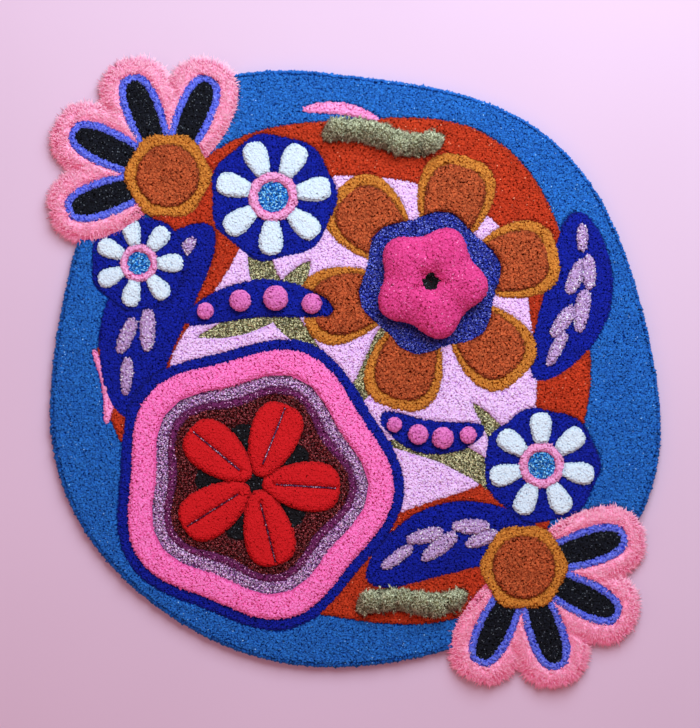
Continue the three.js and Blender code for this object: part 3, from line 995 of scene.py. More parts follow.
@dataclass(frozen=True)
class PileFinish:
    """Finish of loose tufts: painted shade between them and towards their roots, painted light at their tips,
    no two quite alike.

    Attributes:
        yarn: the yarn.
        speck: fineness of the painted glints.
        sparkle: fineness of the bright and dark cells that stand in for a metallic yarn's glints and dark
            reflections, as painted sparkle.
        fibre: fineness of single fibres.
        crumb: fineness of the mottling from tuft to tuft.
        cloud: fineness of the slow shading over the pile.
        even: a yarn whose tufts differ less than this is mottled less too.
    """

    yarn: Yarn
    speck: float = 820.0
    sparkle: float = 620.0
    fibre: float = 1100.0
    crumb: float = 620.0
    cloud: float = 26.0
    even: float = 0.06

    def material(self) -> Material:
        """Returns the tufts' material."""
        spec = YARNS[self.yarn]
        tree = FinishTree(f"{self.yarn.value}_pile")
        deep, body, tip, glint = (linear(code) for code in (spec.deep, spec.body, spec.tip, spec.glint))
        dark = darker(deep, 0.3)
        fibre = tree.noise(self.fibre, 3.0)
        # painted shade and light: the colour runs from the deep colour at a tuft's root to the tip colour at
        # its lit end
        lift = tree.sum("MULTIPLY", tree.field("lift"), tree.spread(fibre, 0.70, 1.24))
        colour = tree.ramp(lift, [(0.25, deep), (0.62, body), (1.0, tip)])
        mottling = 0.4 if spec.spread < self.even else 0.62
        colour = tree.blend(tree.patches(self.crumb, -0.35, mottling), colour, deep)
        # painted shade beside the edges, with random darker tufts: each tuft turns towards the darkened deep
        # colour by its random shade and its groove darkness
        shade = tree.sum("ADD", tree.spread(tree.field("shade"), 0.0, spec.spread), tree.field("dark"))
        colour = tree.blend(shade, colour, dark)
        colour = tree.blend(tree.patches(self.cloud, -0.12, 0.30), colour, deep)
        # painted sparkle and reflection: cells of a metallic yarn step through dark, deep, body and glint
        # colours
        if spec.nap is Nap.FOIL:
            stops = [(0.0, dark), (0.22, deep), (0.58, body), (0.88, glint)]
            sparkle_colour = tree.ramp(tree.speck(self.sparkle), stops, "CONSTANT")
            colour = tree.blend(tree.spread(fibre, 0.55, 0.85), colour, sparkle_colour)
        # painted glints: a few cells turn the glint colour, standing in for the sparkle of metallic threads
        if spec.glints:
            bright = tree.sum("GREATER_THAN", tree.speck(self.speck), 1 - spec.glints)
            colour = tree.blend(bright, colour, glint)
        tree.dress(Base_Color=colour, Roughness=spec.roughness, Metallic=spec.metal, Specular_IOR_Level=0.25)
        tree.dress(Sheen_Weight=spec.sheen, Sheen_Roughness=0.4, Sheen_Tint=tip)
        # painted glow: the pink yarns give out light of their own, though they are no lamps
        tree.dress(Emission_Color=PAINTED_GLOW, Emission_Strength=spec.glow)
        if spec.nap is Nap.STRAND:
            tree.dress(Subsurface_Weight=0.6, Subsurface_Radius=(1.0, 0.55, 0.6), Subsurface_Scale=0.004)
        tree.material.cycles.use_bump_map_correction = False
        depth = 0.0009 if spec.nap is Nap.FELT else 0.0005
        tree.bump(fibre, 0.6, depth, Normal=tree.soft_facing(SOFTNESS[spec.nap]))
        return tree.material


@dataclass(frozen=True)
class BedFinish:
    """Finish of the dense pile between the tufts, in the yarn's deeper colours as painted shade of the gaps.

    Attributes:
        yarn: the yarn.
        grain: fineness of its grain.
    """

    yarn: Yarn
    grain: float = 420.0

    def material(self) -> Material:
        """Returns the dense pile's material."""
        spec = YARNS[self.yarn]
        tree = FinishTree(f"{self.yarn.value}_bed")
        deep, body = linear(spec.deep), linear(spec.body)
        # painted shade: the dense pile seen between the tufts is darker than the yarn
        dark = darker(deep, 1.0 if spec.nap is Nap.FELT else 0.85)
        grain = tree.noise(self.grain, 3.0)
        colour = tree.ramp(grain, [(0.25, dark), (0.5, deep), (0.85, body)])
        tree.dress(Base_Color=colour, Roughness=0.95, Specular_IOR_Level=0.1)
        tree.bump(grain, 1.0, 0.002)
        return tree.material


@dataclass(frozen=True)
class FleeceFinish:
    """Finish of the soft mass that long shag makes below its loose ends.

    Attributes:
        yarn: the yarn.
        fibre: fineness of the fibres.
        glow: share of the yarn's painted glow.
    """

    yarn: Yarn
    fibre: float = 560.0
    glow: float = 0.6

    def material(self) -> Material:
        """Returns the fleece's material."""
        spec = YARNS[self.yarn]
        tree = FinishTree(f"{self.yarn.value}_fleece")
        grain = tree.noise(self.fibre, 4.0)
        stops = [(0.25, linear(spec.deep)), (0.5, linear(spec.body)), (0.8, linear(spec.tip))]
        tree.dress(Base_Color=tree.ramp(grain, stops), Roughness=0.9, Specular_IOR_Level=0.1)
        tree.dress(Sheen_Weight=0.5, Sheen_Roughness=0.5)
        # painted glow: the fleece gives out light of its own, though it is no lamp
        tree.dress(Emission_Color=PAINTED_GLOW, Emission_Strength=self.glow * spec.glow)
        tree.bump(grain, 0.8, 0.0016)
        return tree.material


@dataclass(frozen=True)
class BackingFinish:
    """Finish of the woven backing cloth on the underside.

    Attributes:
        thread: fineness of the weave.
        light: colour of the threads.
        dark: colour between them.
        stain: colour of the faint stains.
    """

    thread: float = 62.0
    light: str = "d8ccb6"
    dark: str = "8c7f6c"
    stain: str = "b09c7c"

    def material(self) -> Material:
        """Returns the backing's material."""
        tree = FinishTree("backing_cloth")
        ribs = []
        for axis in ("X", "Y"):
            inputs = {"Scale": self.thread, "Distortion": 0.6, "Vector": tree.place()}
            ribs.append(tree.node("TexWave", inputs, bands_direction=axis).outputs["Fac"])
        weave = tree.sum("MAXIMUM", *ribs)
        cloth = tree.ramp(weave, [(0.2, linear(self.dark)), (0.8, linear(self.light))])
        stains = tree.spread(tree.noise(9.0, 3.0), 0.0, 0.35)
        tree.dress(Base_Color=tree.blend(stains, cloth, linear(self.stain)), Roughness=0.9)
        tree.dress(Specular_IOR_Level=0.15)
        tree.bump(weave, 0.6, 0.0006)
        return tree.material


def midlines(layout: Layout) -> list[LeafMotif]:
    """Returns the petals that carry a stitched middle line."""
    return [motif for motif in layout.bloom_motifs() if motif.yarn is Yarn.RED]


def midline_gap(layout: Layout, points: Array) -> Array:
    """Finds how far each point is from a stitched middle line.

    Args:
        layout: the rug's motifs.
        points: flat places, one row each.

    Returns:
        The distances.
    """
    gap = np.full(len(points), NEAR)
    for petal in midlines(layout):
        along, across = petal.local(points)
        beside = (along > 0.12 * petal.length) & (along < 0.97 * petal.length)
        gap = np.where(beside, np.minimum(gap, np.abs(across)), gap)
    return gap


def pile_top(yarn: Yarn, edge: Array, points: Array) -> Array:
    """Returns the level of the clipped tips.

    Args:
        yarn: yarn that stands there.
        edge: distance to the nearest edge.
        points: flat places, for the slow unevenness of hand clipping.

    Returns:
        One level for each point.
    """
    spec = YARNS[yarn]
    level = np.full(len(edge), spec.top)
    if spec.round > 0:
        inward = np.clip(1 - edge / (spec.round * 1.3), 0, 1)
        level = level - spec.round * (1 - np.sqrt(1 - inward ** 2))
    near = np.clip(1 - edge / GROOVE, 0, 1)
    level = level - GROOVE_DROP * near ** 2
    slow = np.sin(points[:, 0] * 61 + 1.3) * np.sin(points[:, 1] * 53 + 0.4)
    return level + 0.0004 * slow


def along_outline(motif: Motif, inset: float, pitch: float) -> tuple[Array, Array]:
    """Lays points at an even pitch along a motif's edge, drawn in from it.

    Args:
        motif: the motif.
        inset: distance inside the edge, below zero for outside it.
        pitch: distance between points.

    Returns:
        The points, and the outward direction at each.
    """
    rim = motif.outline()
    ahead = np.roll(rim, -1, axis=0) - np.roll(rim, 1, axis=0)
    outward = np.column_stack([ahead[:, 1], -ahead[:, 0]]) / np.linalg.norm(ahead, axis=1)[:, None]
    ring = rim - inset * outward
    steps = np.linalg.norm(np.diff(ring, axis=0, append=ring[:1]), axis=1)
    travel = np.concatenate([[0], np.cumsum(steps)])
    count = max(3, round(travel[-1] / pitch))
    stops = np.arange(count) * travel[-1] / count
    points, facing = (
        np.column_stack([np.interp(stops, travel, column) for column in np.vstack([rows, rows[:1]]).T])
        for rows in (ring, outward)
    )
    return points, facing / np.linalg.norm(facing, axis=1)[:, None]


def spaced(points: Array, gaps: Array) -> Array:
    """Drops each point too close to an earlier one.

    Args:
        points: the points, one row each.
        gaps: least distance of each from the earlier ones.

    Returns:
        A mask of the points that stay.
    """
    cell = 0.004
    kept: dict[tuple[int, ...], list[int]] = {}
    mask = np.zeros(len(points), bool)
    steps = list(itertools.product((-1, 0, 1), repeat=points.shape[1]))
    cells = np.floor(points / cell).astype(int)
    for index, place in enumerate(cells):
        own = tuple(place)
        near = [other for step in steps for other in kept.get(tuple(map(sum, zip(own, step))), ())]
        if near and np.min(np.sum((points[near] - points[index]) ** 2, axis=1)) < gaps[index] ** 2:
            continue
        kept.setdefault(own, []).append(index)
        mask[index] = True
    return mask


def clear_of(points: Array, gap: float, others: Array) -> Array:
    """Drops each point too close to another set's points.

    Args:
        points: flat places, one row each.
        gap: least distance.
        others: the other set's places.

    Returns:
        A mask of the points that stay.
    """
    tree = kdtree.KDTree(len(others))
    for index, other in enumerate(others):
        tree.insert((*other, 0.0), index)
    tree.balance()
    return np.array([tree.find((*point, 0.0))[2] for point in points]) >= gap


@dataclass
class PilePlan:
    """Places the tufts of the whole rug: along every motif's edge, then in rows between.

    Attributes:
        zones: the rug's motifs.
        rng: source of the small differences.
        edge_share: how far the outermost tufts stand off an edge, as a share of the pitch.
        row_stretch: how much further apart the rows are than the pitch.
        reach: half the size of the square that the rows fill.
        jitter: how far tufts stray along and across their row, as a share of the pitch.
        sites: the places.
        owners: the motif of each.
        edges: the distance of each from an edge.
    """

    zones: Zones
    rng: Chance
    edge_share: float = 0.46
    row_stretch: float = 1.06
    reach: float = 0.43
    jitter: Pair = (0.2, 0.11)
    sites: Array = field(default_factory=lambda: np.zeros((0, 2)))
    owners: Array = field(default_factory=lambda: np.zeros(0, int))
    edges: Array = field(default_factory=lambda: np.zeros(0))

    def edge_sites(self) -> tuple[Array, Array]:
        """Returns points on both sides of every edge, with the room that each needs."""
        found, rooms = [], []
        for motif in self.zones.motifs:
            pitch = YARNS[motif.yarn].pitch
            for inset in (self.edge_share * pitch, -self.edge_share * pitch):
                points, _ = along_outline(motif, inset, pitch * 0.9)
                found.append(points)
                rooms.append(np.full(len(points), pitch * 0.66))
        return np.vstack(found), np.concatenate(rooms)

    def row_sites(self, pitch: float) -> Array:
        """Lays jittered rows of points over the whole rug.

        Args:
            pitch: distance between points.

        Returns:
            The points.
        """
        rows = np.arange(-self.reach, self.reach, pitch * self.row_stretch)
        columns = np.arange(-self.reach, self.reach, pitch / self.row_stretch)
        grid_x, grid_y = np.meshgrid(columns, rows)
        grid_x = grid_x + (np.arange(len(rows)) % 2)[:, None] * pitch / 2
        points = np.column_stack([grid_x.ravel(), grid_y.ravel()])
        return points + self.rng.normal(0, 1, points.shape) * np.array(self.jitter) * pitch

    def lay(self) -> None:
        """Fills in the sites, their motifs and their distances from an edge."""
        ring, room = self.edge_sites()
        owner, edge = self.zones.read(ring)
        pitches = np.array([YARNS[motif.yarn].pitch for motif in self.zones.motifs])
        fits = np.flatnonzero((owner >= 0) & (edge > 0.3 * self.edge_share * pitches[owner]))
        order = fits[np.argsort(-owner[fits], kind="stable")]
        stay = order[spaced(ring[order], room[order])]
        found = [(ring[stay], owner[stay], edge[stay])]
        for pitch in sorted({spec.pitch for spec in YARNS.values()}):
            rows = self.row_sites(pitch)
            owner, edge = self.zones.read(rows)
            here = np.flatnonzero((owner >= 0) & (pitches[owner] == pitch) & (edge > 0.8 * pitch))
            free = here[clear_of(rows[here], 0.52 * pitch, found[0][0])]
            found.append((rows[free], owner[free], edge[free]))
        self.sites, self.owners, self.edges = (np.concatenate(parts) for parts in zip(*found))

    def of_yarn(self, yarn: Yarn) -> tuple[Array, Array]:
        """Returns one yarn's sites and their distances from an edge."""
        mask = self.zones.show(self.owners, yarn)
        return self.sites[mask], self.edges[mask]


def upright(points: Array, edge: Array, low: Array, high: Array, yarn: Yarn, rng: Chance) -> Tufts:
    """Stands tufts on flat places, each leaning a little its own way.

    Args:
        points: flat places.
        edge: distance of each from the nearest edge.
        low: level of each root.
        high: level of each tip.
        yarn: yarn of the tufts.
        rng: source of the small differences.

    Returns:
        The tufts.
    """
    count, nap = len(points), YARNS[yarn].nap
    width = YARNS[yarn].pitch * OVERLAP[nap]
    axis = np.column_stack([rng.normal(0, LEAN[nap], (count, 2)), np.ones(count)])
    uneven = 2 * LEAN[nap]
    length = (high - low) * rng.normal(1, 0.15 * uneven, count) + rng.normal(0, 0.001 * uneven, count)
    # painted shade: tufts in the groove beside an edge are darkened
    dark = 0.55 * np.clip(1 - edge / GROOVE, 0, 1) ** 1.5
    return standing(np.column_stack([points, low]), axis, length, width, rng, dark=dark)


@dataclass
class Maker:
    """Makes some of the rug's pieces.

    Attributes:
        layout: the rug's motifs.
        plan: where the tufts stand.
        rng: source of the small differences.
    """

    layout: Layout
    plan: PilePlan
    rng: Chance

    def build(self) -> list[Piece]:
        """Builds the pieces."""
        raise NotImplementedError


@dataclass
class RugBody(Maker):
    """The rug's backing with its dense pile, and the loose tips of every clipped yarn.

    Attributes:
        flat: the backing's width and length.
        area: the backing's flat area.
        slot: material slot.
        clipped: the yarns that are tufted into it.
        stitch_gap: bare strip on each side of a stitched middle line.
        rim_rows: level, rise and length of each row of tufts at the cut edge.
        rim_inset: how far inside the cut edge those rows are rooted.
    """

    flat: Pair = (0.748, 0.736)
    area: float = 0.452
    slot: str = "rug_pile"
    clipped: tuple[Yarn, ...] = tuple(yarn for yarn in Yarn if yarn not in APART)
    stitch_gap: float = 0.0011
    rim_rows: tuple[tuple[float, float, float], ...] = (
        (0.0022, 0.25, 0.0062), (0.0052, 0.55, 0.0066), (0.0078, 1.0, 0.0066)
    )
    rim_inset: float = 0.0022

    def bed(self) -> Piece:
        """Builds the dense pile from the rug's own solid, a little below the loose tips."""
        shape = bmesh.new()
        shape.from_mesh(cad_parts["rug_body"].data)
        bmesh.ops.remove_doubles(shape, verts=shape.verts[:], dist=WELD)
        for vertex in shape.verts:
            vertex.co.z *= BED_SHARE
        centres = np.array([face.calc_center_median()[:2] for face in shape.faces]) - np.array(SHIFT)
        owner, _ = self.plan.zones.read(centres)
        for face, index in zip(shape.faces, owner):
            yarn = self.plan.zones.motifs[index].yarn
            place = self.clipped.index(yarn if index >= 0 and yarn in self.clipped else Yarn.CERULEAN)
            face.material_index = len(self.clipped) if face.normal.z < -0.5 else place
            face.smooth = False
        mesh = bpy.data.meshes.new("rug_bed")
        shape.to_mesh(mesh)
        shape.free()
        for finish in (*map(BedFinish, self.clipped), BackingFinish()):
            mesh.materials.append(finish.material())
        return ride(linked("rug_bed", mesh), self.slot, "rug_body")

    def pile(self, yarn: Yarn) -> Piece:
        """Plants one yarn's tufts.

        Args:
            yarn: the yarn.

        Returns:
            The piece.
        """
        points, edge = self.plan.of_yarn(yarn)
        if yarn is Yarn.RED:
            gap = midline_gap(self.layout, points)
            beside = gap > self.stitch_gap
            points, edge = points[beside], np.minimum(edge, gap)[beside]
        high = pile_top(yarn, edge, points)
        tufts = upright(points, edge, high * BED_SHARE - 0.0015, high, yarn, self.rng)
        nap = Nap.FELT if YARNS[yarn].nap is Nap.FELT else Nap.CUT
        return plant(f"{yarn.value}_tufts", tufts, nap, PileFinish(yarn).material(), self.slot, self.rng)

    def rim(self, ground: RoundMotif) -> Piece:
        """Plants the tufts that lean out over the backing's cut edge.

        Args:
            ground: the motif that reaches the edge.

        Returns:
            The piece.
        """
        spec, parts = YARNS[ground.yarn], []
        for level, rise, reach in self.rim_rows:
            points, facing = along_outline(ground, self.rim_inset, spec.pitch * 0.86)
            owner, _ = self.plan.zones.read(points)
            points, facing = points[owner == 0], facing[owner == 0]
            count = len(points)
            rising = rise + self.rng.normal(0, 0.22, count)
            axis = np.column_stack([facing + self.rng.normal(0, 0.2, (count, 2)), rising])
            base = np.column_stack([points, level + self.rng.normal(0, 0.0008, count)])
            length = reach * self.rng.normal(1, 0.08, count)
            parts.append(standing(base, axis, length, spec.pitch * OVERLAP[spec.nap], self.rng))
        finish = PileFinish(ground.yarn).material()
        return plant("rim_tufts", Tufts.joined(parts), Nap.CUT, finish, self.slot, self.rng)

    def build(self) -> list[Piece]:
        bed = self.bed()
        tufts = [*map(self.pile, self.clipped), self.rim(self.layout.fields[0])]
        return [bed, *tufts]


def surface_sites(shape: Shape, pitch: float, rng: Chance) -> tuple[Array, Array]:
    """Spreads points evenly over a closed shape.

    Args:
        shape: the shape, which stays as it is.
        pitch: distance between points.
        rng: source of the places.

    Returns:
        The points, and the smoothed outward direction at each.
    """
    skin = shape.copy()
    bmesh.ops.triangulate(skin, faces=skin.faces[:])
    skin.normal_update()
    corners = np.array([[vertex.co[:] for vertex in face.verts] for face in skin.faces])
    facing = np.array([[vertex.normal[:] for vertex in face.verts] for face in skin.faces])
    areas = np.array([face.calc_area() for face in skin.faces])
    skin.free()
    count = int(4 * areas.sum() / pitch ** 2)
    picked = rng.choice(len(areas), count, p=areas / areas.sum())
    first, second = np.sqrt(rng.uniform(0, 1, count)), rng.uniform(0, 1, count)
    shares = np.column_stack([1 - first, first * (1 - second), first * second])[:, :, None]
    points = (corners[picked] * shares).sum(axis=1)
    normals = (facing[picked] * shares).sum(axis=1)
    mask = spaced(points, np.full(count, 0.8 * pitch))
    normals = normals[mask]
    return points[mask], normals / np.linalg.norm(normals, axis=1)[:, None]


@dataclass(frozen=True)
class Coat:
    """Loose pile that covers a closed shape.

    Attributes:
        pitch: distance between tufts.
        shrink: depth of the dense mass below the shape.
        root: how far inside that mass the tufts are rooted.
        lean: how far the tufts lean.
        lowest: facing, as its upward part, down to which tufts stand.
        foot: facing, as its upward part, down to which the mass is drawn in.
        lift: how much the tufts turn upwards.
    """

    pitch: float
    shrink: float
    root: float
    lean: float
    lowest: float
    foot: float = -0.5
    lift: float = 0.0

    def cover(self, shape: Shape, rng: Chance) -> tuple[Array, Array, Array]:
        """Places the tufts on a shape and draws the shape in below them.

        Args:
            shape: the shape.
            rng: source of the places and of the small differences.

        Returns:
            The place of each tuft on the shape, its root, and the direction in which it stands.
        """
        points, facing = surface_sites(shape, self.pitch, rng)
        for vertex, normal in [(vertex, vertex.normal.copy()) for vertex in shape.verts]:
            if normal.z > self.foot:
                vertex.co -= self.shrink * normal
        up = facing[:, 2] > self.lowest
        points, facing = points[up], facing[up]
        axis = facing + np.array([0, 0, self.lift]) + rng.normal(0, self.lean, facing.shape)
        return points, points - (self.shrink + self.root) * facing, axis


def closed(shape: Shape) -> Shape:
    """Closes a shape's poles, turns its faces outwards and sorts its parts by their place.

    The operators leave the parts in another order on each run, and the tufts on them would follow it.

    Args:
        shape: the shape.

    Returns:
        The same shape.
    """
    bmesh.ops.remove_doubles(shape, verts=shape.verts[:], dist=WELD)
    bmesh.ops.recalc_face_normals(shape, faces=shape.faces[:])
    shape.verts.sort(key=lambda vertex: SORTING.dot(vertex.co))
    shape.faces.sort(key=lambda face: SORTING.dot(face.calc_center_median()))
    shape.normal_update()
    return shape


def finished(shape: Shape, name: str, *materials: Material) -> Piece:
    """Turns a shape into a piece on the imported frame, with outward faces.

    Args:
        shape: the shape in the layout's own place, which is used up.
        name: name of the piece.
        materials: its materials.

    Returns:
        The piece.
    """
    bmesh.ops.translate(shape, verts=shape.verts[:], vec=(*SHIFT, 0))
    bmesh.ops.recalc_face_normals(shape, faces=shape.faces[:])
    mesh = bpy.data.meshes.new(name)
    shape.to_mesh(mesh)
    shape.free()
    mesh.shade_smooth()
    for material in materials:
        mesh.materials.append(material)
    return linked(name, mesh)


@dataclass
class ShagFan(Maker):
    """A fan of long coral shag at the rim, with bands of short pile inside its petals.

    Attributes:
        number: one for the upper fan, two for the lower.
        flat: the fan backing's width and length.
        area: the fan backing's flat area.
        spread: angle from the fan's heading to its last petal's edge.
        seam: gap between the fan and the hub that it meets.
        inset: how far the dense pile stays inside the petals' edge.
        bed_top: highest level of the dense pile.
        bed_low: its level at the rim.
        band_top: its level below the short bands.
        swell: distance from a band at which it swells fully.
        slope: distance from the rim over which it rises.
        grid: number of steps of the dense pile's mesh round the hub and outwards.
        reach_steps: nearest, farthest and number of the places tried for the petals' edge.
        strand_pitch: distance between strands.
        strand: length of a strand.
        strand_width: width of a strand.
        fringe: strip along the rim that has low strands too.
        low_levels: lowest and highest root of a low strand.
        low_rise: how far low strands turn down and up.
    """

    number: int
    flat: Pair = (0.288, 0.149)
    area: float = 0.0274
    spread: float = 92.0
    seam: float = 0.0012
    inset: float = 0.004
    bed_top: float = 0.0148
    bed_low: float = 0.005
    band_top: float = 0.0095
    swell: float = 0.008
    slope: float = 0.009
    grid: tuple[int, int] = (200, 18)
    reach_steps: tuple[float, float, int] = (0.05, 0.16, 221)
    strand_pitch: float = 0.0015
    strand: float = 0.0066
    strand_width: float = 0.0016
    fringe: float = 0.0045
    low_levels: Pair = (0.0006, 0.0085)
    low_rise: Pair = (-0.4, 0.5)

    @property
    def hub(self) -> Array:
        """Returns the hub's middle."""
        return np.array(self.layout.fans[self.number - 1][:2])

    def petals(self) -> list[LeafMotif]:
        """Returns this fan's petals."""
        count = len(self.layout.fan_spread)
        return self.layout.fan_petals(Yarn.CORAL)[(self.number - 1) * count:self.number * count]

    def depth(self, points: Array) -> Array:
        """Returns how far each point lies inside the petals' joint edge."""
        return np.max([petal.depth(points) for petal in self.petals()], axis=0)

    def reach(self, angle: float) -> float:
        """Finds how far the petals reach from the hub.

        Args:
            angle: heading from the hub.

        Returns:
            The distance, or zero between the petals.
        """
        steps = np.linspace(*self.reach_steps)
        inside = self.depth(self.hub + steps[:, None] * unit(angle)) > 0
        return float(steps[inside].max()) if inside.any() else 0.0

    def bed_level(self, points: Array) -> Array:
        """Finds the dense pile's level: low in the bands, swelling between them and the rim.

        Args:
            points: flat places, one row each.

        Returns:
            The levels.
        """
        owner, edge = self.plan.zones.read(points)
        shag = self.plan.zones.show(owner, Yarn.CORAL) | (owner < 0)
        rim = np.clip((self.depth(points) - self.inset) / self.slope, 0, 1)
        swell = np.sqrt(1 - (1 - rim) ** 2) * np.minimum(1, 0.35 + edge / self.swell)
        return np.where(shag, self.bed_low + (self.bed_top - self.bed_low) * swell, self.band_top)

    def bed(self) -> Piece:
        """Builds the fan's backing with its dense pile."""
        heading = self.layout.fans[self.number - 1][2]
        inner = self.layout.hubs[0][1] * (1 + self.layout.hubs[0][2]) + self.seam
        shape = bmesh.new()
        bmesh.ops.create_grid(shape, x_segments=self.grid[0], y_segments=self.grid[1], size=1)
        reaches: dict[float, float] = {}
        for vertex in shape.verts:
            turn = round(vertex.co.x, 4)
            angle = heading + self.spread * turn
            if turn not in reaches:
                reaches[turn] = max(inner + 0.002, self.reach(angle) - self.inset)
            share = (vertex.co.y + 1) / 2
            vertex.co = (*(self.hub + unit(angle) * (inner + share * (reaches[turn] - inner))), self.band_top)
        levels = self.bed_level(np.array([vertex.co[:2] for vertex in shape.verts]))
        for vertex, level in zip(shape.verts, levels):
            vertex.co.z = level
        top = shape.faces[:]
        bands = (Yarn.ULTRAMARINE, Yarn.CORE)
        owner, _ = self.plan.zones.read(np.array([face.calc_center_median()[:2] for face in top]))
        for number, band in enumerate(bands):
            for face, shows in zip(top, self.plan.zones.show(owner, band)):
                face.material_index = number + 1 if shows else face.material_index
        made = bmesh.ops.extrude_face_region(shape, geom=top, use_keep_orig=True)
        for part in made["geom"]:
            if isinstance(part, bmesh.types.BMVert):
                part.co.z = 0.0
            elif isinstance(part, bmesh.types.BMFace):
                part.material_index = len(bands) + 1
        finishes = (FleeceFinish(Yarn.CORAL), *map(BedFinish, bands), BackingFinish())
        materials = [finish.material() for finish in finishes]
        piece = finished(shape, f"shag_fan_{self.number}_bed", *materials)
        return ride(piece, "coral_shag", f"shag_fan_{self.number}")

    def outward(self, points: Array) -> Array:
        """Finds the direction towards the nearest edge.

        Args:
            points: flat places, one row each.

        Returns:
            The direction at each.
        """
        steps = 0.0015 * np.eye(2)
        slope = np.column_stack([self.depth(points - step) - self.depth(points + step) for step in steps])
        return slope / np.maximum(np.linalg.norm(slope, axis=1), 1e-9)[:, None]

    def roots(self) -> tuple[Array, Array, Array]:
        """Returns the strands' places, how far each is inside the rim, and a mask of the low ones."""
        steps = np.arange(-0.17, 0.17, self.strand_pitch)
        points = np.column_stack([part.ravel() for part in np.meshgrid(steps, steps)]) + self.hub
        points = points + self.rng.normal(0, 0.28 * self.strand_pitch, points.shape)
        owner, _ = self.plan.zones.read(points)
        depth = self.depth(points)
        keep = self.plan.zones.show(owner, Yarn.CORAL) & (depth > 0.0005)
        points, depth = points[keep], depth[keep]
        outer = np.repeat(np.flatnonzero(depth < self.fringe), 2)
        low = np.arange(len(points) + len(outer)) >= len(points)
        strays = points[outer] + self.rng.normal(0, 0.0008, (len(outer), 2))
        return np.vstack([points, strays]), np.concatenate([depth, depth[outer]]), low

    def strands(self) -> Piece:
        """Plants the long strands: upright inside, leaning out and down at the rim."""
        points, depth, low = self.roots()
        facing, count = self.outward(points), len(points)
        near = np.clip(1 - depth / self.slope, 0, 1)
        across, up = points.T
        sway = np.column_stack([np.sin(310 * across + 2 * np.sin(170 * up)), np.sin(290 * up + 120 * across)])
        lean = facing * (0.12 + 0.85 * near)[:, None]
        tilt = lean + 0.35 * sway + self.rng.normal(0, 0.42, (count, 2))
        axis = np.column_stack([tilt, np.where(low, self.rng.uniform(*self.low_rise, count), 0.8)])
        pull = np.maximum(0, self.inset + 0.0008 - depth)
        roots = points - pull[:, None] * facing
        level = np.where(low, self.rng.uniform(*self.low_levels, count), self.bed_level(roots) - 0.0014)
        drop = np.column_stack([0.001 * facing, -0.0014 * np.ones(count)])
        sag = drop + self.rng.normal(0, 0.0013, (count, 3))
        length = self.strand * self.rng.normal(1, 0.14, count) + pull
        base = np.column_stack([roots, level])
        face = np.column_stack([lean * 0.5 + self.rng.normal(0, 0.12, (count, 2)), np.ones(count)])
        tufts = standing(base, axis, length, self.strand_width, self.rng, sag=sag, face=face)
        name, finish = f"shag_fan_{self.number}_strands", PileFinish(Yarn.CORAL).material()
        return plant(name, tufts, Nap.STRAND, finish, "coral_shag", self.rng)

    def band(self, yarn: Yarn) -> Piece:
        """Plants one of the short bands inside the petals.

        Args:
            yarn: its yarn.

        Returns:
            The piece.
        """
        points, edge = self.plan.of_yarn(yarn)
        here = np.hypot(*(points - self.hub).T) < 0.2
        points, edge = points[here], edge[here]
        low = np.full(len(points), self.band_top - 0.002)
        tufts = upright(points, edge, low, pile_top(yarn, edge, points), yarn, self.rng)
        name, finish = f"shag_fan_{self.number}_{yarn.value}", PileFinish(yarn).material()
        return plant(name, tufts, Nap.CUT, finish, "rug_pile", self.rng)

    def build(self) -> list[Piece]:
        """Builds the fan."""
        bed = self.bed()
        tufts = [self.strands(), self.band(Yarn.ULTRAMARINE), self.band(Yarn.CORE)]
        return [bed, *tufts]


@dataclass
class TinselGarland(Maker):
    """A raised bar of shaggy metallic yarn that stands in its channel.

    Attributes:
        number: one for the upper bar, two for the lower.
        coat: how the sprays stand on it.
        spray: mean length of a spray.
        uneven: shortest and longest spray, as shares of that.
        width: width of a spray.
    """

    number: int
    coat: Coat = Coat(pitch=0.0023, shrink=0.0028, root=0.0012, lean=0.4, lowest=-0.35, foot=-2, lift=0.25)
    spray: float = 0.0066
    uneven: Pair = (0.7, 1.35)
    width: float = 0.0036

    def build(self) -> list[Piece]:
        """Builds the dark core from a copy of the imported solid, and the sprays around it."""
        name = f"tinsel_garland_{self.number}"
        shape = bmesh.new()
        shape.from_mesh(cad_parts[name].data)
        bmesh.ops.remove_doubles(shape, verts=shape.verts[:], dist=WELD)
        bmesh.ops.translate(shape, verts=shape.verts[:], vec=(-SHIFT[0], -SHIFT[1], 0))
        shape.normal_update()
        _, base, axis = self.coat.cover(shape, self.rng)
        core = ride(finished(shape, f"{name}_core", BedFinish(Yarn.TINSEL).material()), "tinsel", name)
        length = self.spray * self.rng.uniform(*self.uneven, len(base))
        tufts = standing(base, axis, length, self.width, self.rng)
        finish = PileFinish(Yarn.TINSEL).material()
        return [core, plant(f"{name}_sprays", tufts, Nap.FOIL, finish, "tinsel", self.rng)]


